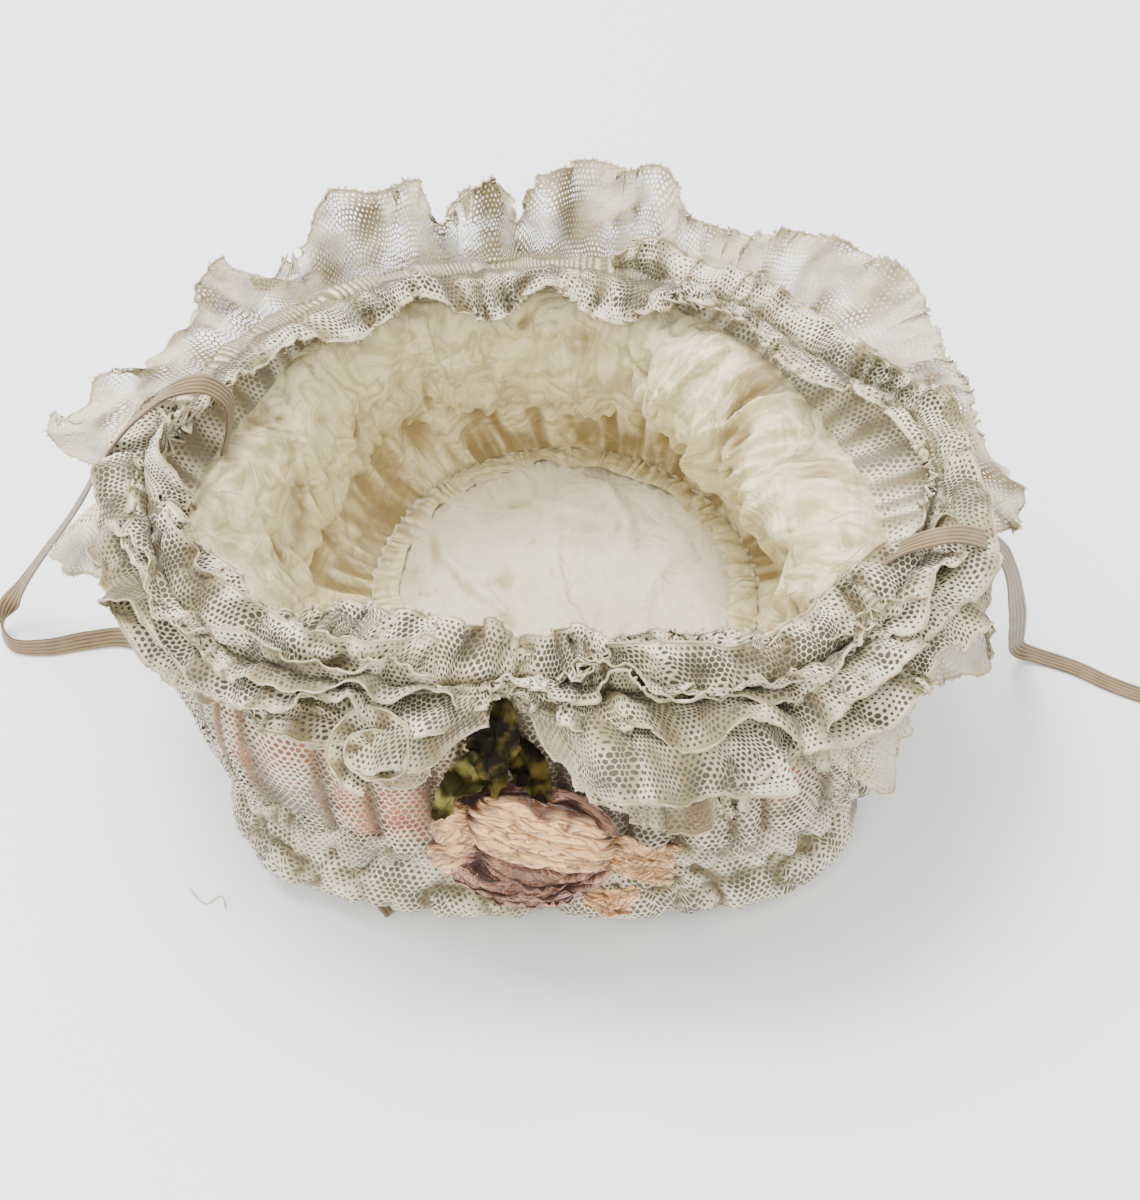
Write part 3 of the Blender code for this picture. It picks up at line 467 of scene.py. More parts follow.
class Graph:
    """Short calls for building one material's nodes."""

    def __init__(self, name: str) -> None:
        """Starts a material with its Principled shader."""
        self.material = bpy.data.materials.new(name)
        self.material.use_nodes = True
        self.nodes = self.material.node_tree.nodes
        self.links = self.material.node_tree.links
        self.shader = self.nodes["Principled BSDF"]

    def feed(self, socket: bpy.types.NodeSocket, value: object) -> None:
        """Links a socket into another one, or sets its value.

        Args:
            socket: The input.
            value: A socket to link, or a value.
        """
        if isinstance(value, bpy.types.NodeSocket):
            self.links.new(value, socket)
        else:
            socket.default_value = value

    def add(self, kind: str, inputs: dict, output: object = 0, **settings: object) -> bpy.types.NodeSocket:
        """Adds a node.

        Args:
            kind: The node's type, without its ShaderNode prefix.
            inputs: Values or sockets by input name or number.
            output: The output's name or number.
            **settings: Values of the node's own settings.

        Returns:
            The output socket.
        """
        node = self.nodes.new("ShaderNode" + kind)
        for key, value in settings.items():
            setattr(node, key, value)
        for key, value in inputs.items():
            self.feed(node.inputs[key], value)
        return node.outputs[output]

    def math(self, operation: str, *values: object) -> bpy.types.NodeSocket:
        """Adds a Math node."""
        return self.add("Math", dict(enumerate(values)), operation=operation)

    def vector(self, operation: str, *values: object, output: object = 0) -> bpy.types.NodeSocket:
        """Adds a Vector Math node."""
        return self.add("VectorMath", dict(enumerate(values)), output, operation=operation)

    def length(self, value: object) -> bpy.types.NodeSocket:
        """Length of a vector."""
        return self.vector("LENGTH", value, output="Value")

    def scaled(self, value: object, amount: object) -> bpy.types.NodeSocket:
        """Vector or colour times a number."""
        return self.add("VectorMath", {0: value, 3: amount}, operation="SCALE")

    def blend(self, share: object, first: object, second: object) -> bpy.types.NodeSocket:
        """Colour between two colours."""
        first, second = (c if isinstance(c, bpy.types.NodeSocket) else (*c, 1.0) for c in (first, second))
        return self.add("Mix", {0: share, 6: first, 7: second}, 2, data_type="RGBA")

    def noise(self, place: object, size: float, detail: float = 2.0, distortion: float = 0.0,
              output: object = 0) -> bpy.types.NodeSocket:
        """Noise whose bumps are about size metres apart."""
        return self.add("TexNoise", {"Vector": place, "Scale": 1 / size, "Detail": detail,
                                     "Distortion": distortion}, output)

    def span(self, value: object, low: object, high: object, to_low: float = 0.0,
             to_high: float = 1.0) -> bpy.types.NodeSocket:
        """Smooth step from one range to another."""
        return self.add("MapRange", {0: value, 1: low, 2: high, 3: to_low, 4: to_high},
                        interpolation_type="SMOOTHSTEP")

    def cloth_place(self) -> bpy.types.NodeSocket:
        """Metres along the cloth and across it from its free edge."""
        return self.add("UVMap", {}, uv_map="cloth")

    def place(self) -> bpy.types.NodeSocket:
        """Place on the bonnet, in metres."""
        return self.add("TexCoord", {}, "Object")

    def fold(self) -> bpy.types.NodeSocket:
        """How far the cloth stands out of its folds, from 0 in a crease to 1; the finishes paint shade and
        light with it.
        """
        return self.add("Attribute", {}, "Fac", attribute_name="fold")

    def bump(self, height: object, distance: float, strength: float = 1.0,
             under: object = None) -> bpy.types.NodeSocket:
        """Adds a bump.

        Args:
            height: Height from 0 to 1.
            distance: Its depth in metres.
            strength: Its strength.
            under: Normal that it lies on.

        Returns:
            The normal.
        """
        inputs = {"Height": height, "Distance": distance, "Strength": strength}
        if under is not None:
            inputs["Normal"] = under
        return self.add("Bump", inputs)

    def finish(self, colour: object, roughness: object, normal: object = None,
               **constants: float) -> bpy.types.Material:
        """Feeds the shader.

        Args:
            colour: Base colour, as a socket.
            roughness: Roughness, as a socket or number.
            normal: Normal socket.
            **constants: Values of other sockets, their spaces as underscores.

        Returns:
            The material.
        """
        self.feed(self.shader.inputs["Base Color"], colour)
        self.feed(self.shader.inputs["Roughness"], roughness)
        if normal is not None:
            self.feed(self.shader.inputs["Normal"], normal)
        for key, value in constants.items():
            self.feed(self.shader.inputs[key.replace("_", " ").title().replace("Ior", "IOR")], value)
        return self.material


@dataclass(frozen=True)
class Net:
    """Cotton net or lace with round holes between hexagonal threads, with painted shade in its folds and
    painted light on their crests.
    """

    colour: Colour = (0.65, 0.605, 0.43)
    aged: Colour = (0.50, 0.43, 0.24)
    # Colour painted in the holes as the shade behind an opaque net; None leaves them see-through.
    hole_shade: Colour | None = None
    pitch: float = 1.55 * MM
    thread: float = 0.12
    hem: float = 0.9 * MM
    hem_colour: Colour = (0.60, 0.53, 0.32)
    # Painted shade in the creases and painted light on the crests, picked by the fold value.
    shade_in_folds: Colour = (0.34, 0.285, 0.19)
    light_on_folds: Colour = (1.12, 1.12, 1.12)
    motif: float = 6 * MM
    veil: float = 0.0

    def material(self, name: str) -> bpy.types.Material:
        """Builds the net, denser in scallops along its hem.

        Args:
            name: The material's name.

        Returns:
            The material, see-through in its holes unless it has a colour of painted shade for them.
        """
        g = Graph(name)
        cloth, place = g.cloth_place(), g.place()
        drift = g.scaled(g.vector("SUBTRACT", g.noise(place, 7 * MM, 1.0, output=1), (0.5, 0.5, 0.5)), 1.4)
        spot = g.vector("ADD", g.vector("DIVIDE", cloth, (self.pitch,) * 3), drift)
        spot = g.vector("MULTIPLY", spot, (1, 1, 0))
        half_cell = (0.5, 0.866, 0.0)       # to the next row of a hexagonal grid
        tile, back = (0.5, 0.866, 1.0), (-0.5, -0.866, -1.0)
        first = g.vector("WRAP", spot, tile, back)
        second = g.vector("WRAP", g.vector("SUBTRACT", spot, half_cell), tile, back)
        nearer = g.math("LESS_THAN", g.length(first), g.length(second))
        cell = g.vector("ABSOLUTE", g.add("Mix", {0: nearer, 4: second, 5: first}, 1, data_type="VECTOR"))
        slope = g.vector("DOT_PRODUCT", cell, half_cell, output="Value")
        hexagon = g.math("MAXIMUM", g.add("SeparateXYZ", {0: cell}, 0), slope)
        rounded = g.math("MULTIPLY", g.length(cell), 0.43)
        round_hole = g.math("ADD", g.math("MULTIPLY", hexagon, 0.55), rounded)
        spread = g.span(g.noise(place, 9 * MM, 2.0), 0.3, 0.7, self.thread * 0.5, self.thread * 2.0)
        across = g.add("SeparateXYZ", {0: cloth}, 1)
        ragged = g.math("ADD", across, g.math("MULTIPLY", g.noise(place, 1.1 * MM), 0.5 * MM))
        solid = dense = 0.0
        if self.hem:
            solid = g.span(ragged, self.hem * 1.5, self.hem * 1.15)
            along = g.add("SeparateXYZ", {0: cloth}, 0)
            scallop = g.math("ABSOLUTE", g.math("SINE", g.math("MULTIPLY", along, math.pi / self.motif)))
            deep = g.math("MULTIPLY_ADD", scallop, self.motif * 0.42, self.hem * 1.6)
            dense = g.math("LESS_THAN", ragged, deep)
        spread = g.math("MULTIPLY_ADD", dense, 0.09, spread)
        edge = g.math("SUBTRACT", 0.5, spread)
        threads = g.span(round_hole, g.math("SUBTRACT", edge, 0.05), g.math("ADD", edge, 0.04))
        cover = g.math("MAXIMUM", threads, solid)
        age = g.span(g.noise(place, 17 * MM, 3.0), 0.42, 0.75)
        colour = g.blend(age, self.colour, self.aged)
        fibre = g.noise(place, 0.25 * MM, 1.0)
        colour = g.blend(g.math("MULTIPLY", solid, 0.6), colour, self.hem_colour)
        mottle = g.add("CombineXYZ", {axis: g.span(fibre, 0.2, 0.8, 0.80, 1.12) for axis in range(3)})
        colour = g.vector("MULTIPLY", colour, mottle)
        # Painted shade in the folds and painted light on their crests.
        shading = g.blend(g.span(g.fold(), 0.0, 0.9), self.shade_in_folds, self.light_on_folds)
        colour = g.vector("MULTIPLY", colour, shading)
        if self.hole_shade is None:
            # Painted shade: the veil in the holes is darkened to 0.6.
            colour = g.blend(cover, g.scaled(colour, 0.60), colour)
            veil = g.span(g.noise(place, 11 * MM, 2.0), 0.34, 0.58, self.veil * 0.15, self.veil)
            g.feed(g.shader.inputs["Alpha"], g.math("MAXIMUM", cover, veil))
        else:
            # Painted shade: the holes take the colour of the shade behind the net.
            colour = g.blend(cover, self.hole_shade, colour)
        height = g.math("ADD", g.math("MULTIPLY", cover, 0.7), g.math("MULTIPLY", fibre, 0.3))
        wrinkled = g.bump(g.noise(place, 3.5 * MM, 3.0, 0.6), 1.1 * MM)
        return g.finish(colour, 0.85, g.bump(height, 0.22 * MM, 1.0, wrinkled), sheen_weight=0.15)


@dataclass(frozen=True)
class Satin:
    """Silk satin or taffeta, creased, with a fine thread, painted shade in its folds and along its sharp
    creases, and painted light on the crests.
    """

    # light and dark: painted light on the crests and painted shade in the folds.
    light: Colour
    dark: Colour
    aged: Colour
    roughness: float = 0.38
    crease: float = 1.5 * MM
    crease_size: float = 15 * MM
    stretch: float = 1.0
    # line: strength of the painted shade along the sharp creases.
    line: float = 0.35

    def material(self, name: str) -> bpy.types.Material:
        """Builds the silk, with sharp creases that run along it where stretch is over 1.

        Args:
            name: The material's name.

        Returns:
            The material.
        """
        g = Graph(name)
        cloth, place, fold = g.cloth_place(), g.place(), g.fold()
        # Painted shade in the folds and painted light on their crests.
        colour = g.blend(g.span(fold, 0.0, 0.75), self.dark, self.light)
        age = g.span(g.noise(place, 13 * MM, 3.0, 0.6), 0.45, 0.75)
        colour = g.blend(g.math("MULTIPLY", age, 0.4), colour, self.aged)
        spot = place
        if self.stretch > 1:
            spot = g.vector("MULTIPLY", cloth, (1 / self.stretch, 1, 0))
        wave = g.noise(spot, self.crease_size, 4.0, 0.9)
        sharp = g.math("MULTIPLY", g.math("ABSOLUTE", g.math("SUBTRACT", wave, 0.5)), 3.0)
        # Painted shade along the sharp creases.
        colour = g.blend(g.span(sharp, 0.0, 0.18, self.line, 0.0), colour, self.dark)
        grain = g.add("TexNoise", {"Vector": g.vector("MULTIPLY", cloth, (1 / (3 * MM), 1 / (0.12 * MM), 0)),
                                   "Scale": 1.0, "Detail": 1.0})
        normal = g.bump(g.span(sharp, 0.0, 1.0), self.crease)
        normal = g.bump(grain, 0.06 * MM, 0.7, normal)
        rough = g.span(grain, 0.2, 0.8, self.roughness - 0.06, self.roughness + 0.12)
        return g.finish(colour, rough, normal, sheen_weight=0.2, sheen_roughness=0.4)


@dataclass(frozen=True)
class FadedSilk:
    """Pale silk that is still pink in a few places; its pale tone is darkened with painted shade for the
    shadow behind the net, and its creases carry painted shade.
    """

    # pale: the silk's pale colour, darkened with painted shade for the shadow behind the net.
    pale: Colour = (0.23, 0.19, 0.12)
    pink: Colour = (0.54, 0.18, 0.085)
    # crease: painted shade in the folds.
    crease: Colour = (0.13, 0.085, 0.05)
    places: tuple[tuple[float, float, float, float], ...] = (
        (-34, -72, 44, 19), (-58, -58, 54, 19), (31, -73, 44, 10),
        (48, -66, 52, 13), (-20, -76, 50, 12), (-45, -64, 58, 14))

    def material(self, name: str) -> bpy.types.Material:
        """Builds the silk; places are millimetres and a reach.

        Args:
            name: The material's name.

        Returns:
            The material.
        """
        g = Graph(name)
        place = g.place()
        wander = g.vector("ADD", place, g.scaled(g.noise(place, 9 * MM, 2.0, output=1), 6 * MM))
        mask = 0.0
        for *middle, reach in self.places:
            spot = tuple(value * MM + 3 * MM for value in middle)
            far = g.vector("DISTANCE", wander, spot, output="Value")
            mask = g.math("MAXIMUM", mask, g.span(far, reach * MM, reach * 0.35 * MM))
        colour = g.blend(mask, self.pale, self.pink)
        # Painted shade in the folds.
        colour = g.blend(g.span(g.fold(), 0.0, 0.6, 0.85, 0.0), colour, self.crease)
        normal = g.bump(g.noise(place, 3 * MM, 3.0, 0.5), 0.4 * MM)
        return g.finish(colour, 0.55, normal, sheen_weight=0.15)


@dataclass(frozen=True)
class Cotton:
    """Fine white plain weave with little stains, and painted shade in its creases."""

    light: Colour = (0.76, 0.70, 0.49)
    # Colour of the little stains, also the painted shade in the creases.
    stain_and_shade: Colour = (0.44, 0.35, 0.165)
    weave: float = 0.42 * MM

    def material(self, name: str) -> bpy.types.Material:
        """Builds the weave.

        Args:
            name: The material's name.

        Returns:
            The material.
        """
        g = Graph(name)
        cloth, place, fold = g.cloth_place(), g.place(), g.fold()
        parts = g.add("SeparateXYZ", {0: g.scaled(cloth, 2 * math.pi / self.weave)}, 0)
        warp = g.math("SINE", parts)
        weft = g.math("SINE", parts.node.outputs[1])
        weave = g.math("MULTIPLY", warp, weft)
        spots = g.span(g.noise(place, 6 * MM, 2.0, 0.4), 0.66, 0.80)
        haze = g.span(g.noise(place, 22 * MM, 2.0), 0.4, 0.7)
        colour = g.blend(g.math("MULTIPLY", haze, 0.30), self.light, self.stain_and_shade)
        colour = g.blend(g.math("MULTIPLY", spots, 0.55), colour, self.stain_and_shade)
        # Painted shade: darker towards the stain colour in the creases.
        colour = g.blend(g.span(fold, 0.1, 0.9, 0.75, 0.0), colour, self.stain_and_shade)
        slub = g.noise(g.vector("MULTIPLY", cloth, (0.12, 1.0, 1.0)), 0.35 * MM)
        height = g.math("ADD", g.math("MULTIPLY", weave, 0.35), slub)
        normal = g.bump(g.noise(place, 9 * MM, 4.0, 1.2), 2.2 * MM)
        return g.finish(colour, 0.85, g.bump(height, 0.13 * MM, 1.0, normal), sheen_weight=0.1)


@dataclass(frozen=True)
class Velvet:
    """Short pile in light and dark patches, with painted shade in its creases."""

    light: Colour
    dark: Colour

    def material(self, name: str) -> bpy.types.Material:
        """Builds the pile.

        Args:
            name: The material's name.

        Returns:
            The material.
        """
        g = Graph(name)
        place, fold = g.place(), g.fold()
        patch = g.span(g.noise(place, 5 * MM, 3.0), 0.44, 0.68)
        # The light patches are dimmed in the creases: painted shade.
        colour = g.blend(g.math("MULTIPLY", patch, g.span(fold, 0.0, 0.8, 0.3, 1.0)), self.dark, self.light)
        pile = g.noise(place, 0.22 * MM, 1.0)
        return g.finish(colour, 0.9, g.bump(pile, 0.15 * MM), specular_ior_level=0.15)


@dataclass(frozen=True)
class Thread:
    """Twisted cotton thread of edges, tufts and stray ends."""

    colour: Colour = (0.46, 0.37, 0.24)
    pale: Colour = (0.66, 0.58, 0.44)

    def material(self, name: str) -> bpy.types.Material:
        """Builds the thread.

        Args:
            name: The material's name.

        Returns:
            The material.
        """
        g = Graph(name)
        place = g.place()
        colour = g.blend(g.span(g.noise(place, 3 * MM, 2.0), 0.35, 0.65), self.colour, self.pale)
        return g.finish(colour, 0.9, g.bump(g.noise(place, 0.35 * MM, 2.0), 0.3 * MM))


@dataclass(frozen=True)
class Elastic:
    """Flat woven elastic with lengthwise ribs."""

    rib: Colour = (0.22, 0.15, 0.066)
    # Painted shade in the grooves between the ribs.
    groove_shade: Colour = (0.085, 0.052, 0.026)
    worn: Colour = (0.28, 0.20, 0.115)
    ribs: int = 5
    width: float = 5 * MM

    def material(self, name: str) -> bpy.types.Material:
        """Builds the ribs' colour, with painted shade in their grooves, and their fine cross threads.

        Args:
            name: The material's name.

        Returns:
            The material.
        """
        g = Graph(name)
        cloth, place = g.cloth_place(), g.place()
        parts = g.add("SeparateXYZ", {0: cloth}, 1)
        turn = g.math("MULTIPLY", parts, 2 * math.pi * self.ribs / self.width)
        rib = g.math("MULTIPLY_ADD", g.math("COSINE", turn), -0.5, 0.5)
        # Painted shade in the grooves between the ribs.
        colour = g.blend(g.span(rib, 0.05, 0.7), self.groove_shade, self.rib)
        worn = g.span(g.noise(place, 6 * MM, 3.0), 0.4, 0.7)
        colour = g.blend(g.math("MULTIPLY", worn, 0.35), colour, self.worn)
        cross = g.noise(g.vector("MULTIPLY", cloth, (1.0, 0.3, 1.0)), 0.30 * MM, 1.0)
        return g.finish(colour, 0.75, g.bump(cross, 0.12 * MM), sheen_weight=0.2)


SIDE_NET = Net((0.55, 0.47, 0.335), (0.50, 0.40, 0.25), pitch=1.6 * MM, thread=0.12, hem=0.0)
RUFFLE_NET = Net((0.59, 0.535, 0.355), thread=0.17, pitch=1.5 * MM, veil=0.8)
CREAM_SILK = Satin((0.80, 0.71, 0.42), (0.28, 0.195, 0.075), (0.60, 0.49, 0.24), line=0.5)
PINK_SILK = FadedSilk()
# Darker copy of the rose satin, for the heart and the lower folds.
DEEP_SATIN = Satin((0.58, 0.31, 0.20), (0.055, 0.016, 0.010), (0.40, 0.18, 0.10), roughness=0.30,
                   crease=1.1 * MM, crease_size=2.0 * MM, stretch=4.0, line=0.85)
ROSE_SATIN = Satin((0.92, 0.54, 0.225), (0.070, 0.022, 0.008), (0.50, 0.26, 0.10), roughness=0.22,
                   crease=1.4 * MM, crease_size=2.6 * MM, stretch=3.6, line=0.85)
# The hole colours below are painted shade seen through the holes.
PADDED_NET = Net(hole_shade=(0.13, 0.11, 0.065), pitch=1.35 * MM, thread=0.16, hem=0.0)
ROLL_NET = Net((0.60, 0.54, 0.40), hole_shade=(0.20, 0.165, 0.105), pitch=1.15 * MM, thread=0.16, hem=0.0)
HEAP_NET = Net(hole_shade=(0.075, 0.06, 0.035), thread=0.15, pitch=1.45 * MM)
FACING_NET = Net(hole_shade=(0.20, 0.17, 0.12), thread=0.19, hem=0.0)
CASING_NET = Net(hole_shade=(0.40, 0.35, 0.27), pitch=1.0 * MM, thread=0.2, hem=0.0)
WHITE_COTTON = Cotton()
DARK_VELVET = Velvet((0.085, 0.062, 0.010), (0.006, 0.004, 0.002))
GREEN_VELVET = Velvet((0.24, 0.21, 0.06), (0.035, 0.028, 0.006))
EDGE_THREAD = Thread()
CREAM_THREAD = Thread((0.40, 0.33, 0.195), (0.56, 0.49, 0.33))
ELASTIC = Elastic()
Finish = Net | Satin | FadedSilk | Cotton | Velvet | Thread | Elastic


# ---- meshes ----

def make_piece(name: str, points: Array, faces: Array, material: bpy.types.Material, slot: str,
               uv: Array | None = None, fold: Array | None = None,
               stands: bool = False) -> bpy.types.Object:
    """Makes one piece and hangs it on the body.

    Args:
        name: The piece's name.
        points: Vertices.
        faces: Vertex numbers of each face.
        material: Its finish.
        slot: Name of its CAD node, hidden when the piece stands for it.
        uv: Places on the cloth, one for each corner of the faces.
        fold: A fold value for each vertex, the mask for painted shade in creases and painted light on crests.
        stands: Whether it stands for the CAD node of its slot's name.

    Returns:
        The object.
    """
    mesh = bpy.data.meshes.new(name)
    plain = faces if isinstance(faces, list) else faces.tolist()
    mesh.from_pydata(points.reshape(-1, 3).tolist(), [], plain)
    if uv is not None:
        layer = mesh.uv_layers.new(name="cloth")
        layer.data.foreach_set("uv", uv.astype(np.float32).ravel())
    if fold is not None:
        attribute = mesh.attributes.new("fold", "FLOAT", "POINT")
        attribute.data.foreach_set("value", fold.astype(np.float32).ravel())
    mesh.shade_smooth()
    mesh.materials.append(material)
    thing = bpy.data.objects.new(name, mesh)
    bpy.context.scene.collection.objects.link(thing)
    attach(thing, BODY)
    if stands:
        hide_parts(slot)
    LOG.info("%s: %d faces", name, len(faces))
    return thing


class Cloth:
    """Grid of points, rows along the cloth and columns across it to its free edge."""

    def __init__(self, points: Array, closed: bool) -> None:
        """Keeps the grid; a closed one joins its last row to its first."""
        self.points = points
        self.closed = closed
        # fold: 0 to 1 for each point, the mask for painted shade in creases (0) and painted light on crests
        # (1).
        self.fold = np.full(points.shape[:2], 0.8)

    def runs(self) -> Array:
        """Unit directions along the cloth."""
        if self.closed:
            return unit(np.roll(self.points, -1, 0) - np.roll(self.points, 1, 0))
        return unit(np.gradient(self.points, axis=0))

    def normals(self) -> Array:
        """Unit directions out of the cloth."""
        return unit(np.cross(self.runs(), np.gradient(self.points, axis=1)))

    def push(self, amount: Array, marks: bool = False) -> None:
        """Moves the points along the normals.

        Args:
            amount: Distances, one a point.
            marks: Whether the folds are shaded by it.
        """
        self.points = self.points + self.normals() * amount[..., None]
        if marks:
            spread = np.ptp(amount) or 1.0
            self.fold = np.broadcast_to((amount - amount.min()) / spread, self.fold.shape).copy()

    def slide(self, amount: Array) -> None:
        """Moves the points along the cloth."""
        self.points = self.points + self.runs() * amount[..., None]

    def faces(self) -> Array:
        """Vertex numbers of the grid's quads."""
        rows, columns = self.points.shape[:2]
        strips = rows if self.closed else rows - 1
        i, j = np.meshgrid(np.arange(strips), np.arange(columns - 1), indexing="ij")
        here, there = i * columns + j, (i + 1) % rows * columns + j
        return np.stack([here, here + 1, there + 1, there], axis=-1).reshape(-1, 4)

    def corners(self, tile: float) -> Array:
        """Places on the cloth of each quad's corners.

        Args:
            tile: Length that goes a whole number of times into a closed cloth.

        Returns:
            One place for each corner, in metres.
        """
        points = np.concatenate([self.points, self.points[:1]]) if self.closed else self.points
        steps = np.linalg.norm(np.diff(points[:, -1], axis=0), axis=-1)
        along = np.concatenate([[0.0], np.cumsum(steps)])
        if self.closed:
            along *= max(round(along[-1] / tile), 1) * tile / along[-1]
        spans = np.linalg.norm(np.diff(points, axis=1), axis=-1)
        from_edge = np.cumsum(spans[:, ::-1], axis=1)[:, ::-1]
        across = np.concatenate([from_edge, np.zeros((len(points), 1))], axis=1)
        place = np.stack([np.broadcast_to(along[:, None], across.shape), across], axis=-1)
        return quad_corners(place).reshape(-1, 2)

    def build(self, name: str, finish: Finish, slot: str, stands: bool = True) -> bpy.types.Object:
        """Makes the piece in a finish of its own.

        Args:
            name: The piece's name.
            finish: Its finish.
            slot: Name of its CAD node, hidden when the piece stands for it.
            stands: Whether it stands for the CAD node of its slot's name.

        Returns:
            The object.
        """
        tile = getattr(finish, "pitch", 1 * MM)
        return make_piece(name, self.points, self.faces(), finish.material(name), slot,
                          self.corners(tile), self.fold, stands)


def quad_corners(place: Array) -> Array:
    """Places of the four corners of each quad of a grid."""
    return np.stack([place[:-1, :-1], place[:-1, 1:], place[1:, 1:], place[1:, :-1]], axis=2)


def through(stations: Sequence[Array], columns: int) -> Array:
    """Grid, rows by columns, that runs smoothly through stations of one point a row."""
    run = run_through(np.stack(stations), np.linspace(0, 1, columns))
    return run.transpose(1, 0, 2)


def tube(path: Array, radius: Array, sides: int, closed: bool = False) -> tuple[Array, Array]:
    """Round thread along a path.

    Args:
        path: Points.
        radius: Radius at each point.
        sides: Faces round it.
        closed: Whether the path joins its start.

    Returns:
        Vertices and faces.
    """
    run = unit(np.roll(path, -1, 0) - np.roll(path, 1, 0) if closed else np.gradient(path, axis=0))
    side = unit(np.cross(run, np.array([0.31, 0.12, 0.94])))
    lift = np.cross(run, side)
    turn = 2 * math.pi * np.arange(sides) / sides
    ring = side[:, None] * np.cos(turn)[None, :, None] + lift[:, None] * np.sin(turn)[None, :, None]
    points = path[:, None] + ring * np.broadcast_to(radius, (len(path),))[:, None, None]
    rows = len(path)
    i, j = np.meshgrid(np.arange(rows if closed else rows - 1), np.arange(sides), indexing="ij")
    here, there, following = i * sides, (i + 1) % rows * sides, (j + 1) % sides
    faces = np.stack([here + j, here + following, there + following, there + j], axis=-1).reshape(-1, 4)
    return points.reshape(-1, 3), faces


def joined(parts: Sequence[tuple[Array, Array]]) -> tuple[Array, list]:
    """Joins several meshes into one.

    Args:
        parts: Vertices and faces of each.

    Returns:
        Vertices and faces of all.
    """
    starts = np.cumsum([0] + [len(points) for points, _ in parts[:-1]])
    faces = [face for (_, some), start in zip(parts, starts) for face in (some + start).tolist()]
    return np.concatenate([points for points, _ in parts]), faces


def tufts(roots: Array, headings: Array, size: Array, width: float) -> tuple[Array, Array]:
    """Little pointed picots.

    Args:
        roots: Where each one starts.
        headings: Unit direction of each.
        size: Length of each.
        width: Width of all.

    Returns:
        Vertices and faces.
    """
    side = unit(np.cross(headings, UP + 0.01))
    lift = np.cross(headings, side)
    middle = roots + headings * (size * 0.45)[:, None]
    ends = roots + headings * size[:, None]
    start = roots - headings * (size * 0.35)[:, None]
    ring = [middle + (side * x + lift * y) * width / 2 for x, y in ((1, 0), (0, 0.6), (-1, 0), (0, -0.6))]
    points = np.stack([start, *ring, ends], axis=1)
    one = np.array([(0, 1, 2), (0, 2, 3), (0, 3, 4), (0, 4, 1), (5, 2, 1), (5, 3, 2), (5, 4, 3), (5, 1, 4)])
    faces = (one[None] + 6 * np.arange(len(roots))[:, None, None]).reshape(-1, 3)
    return points.reshape(-1, 3), faces


# ---- the bonnet's own form ----

class Seat(Enum):
    """Side of the casing that a frill is sewn to."""

    INNER = -1
    TOP = 0
    OUTER = 1


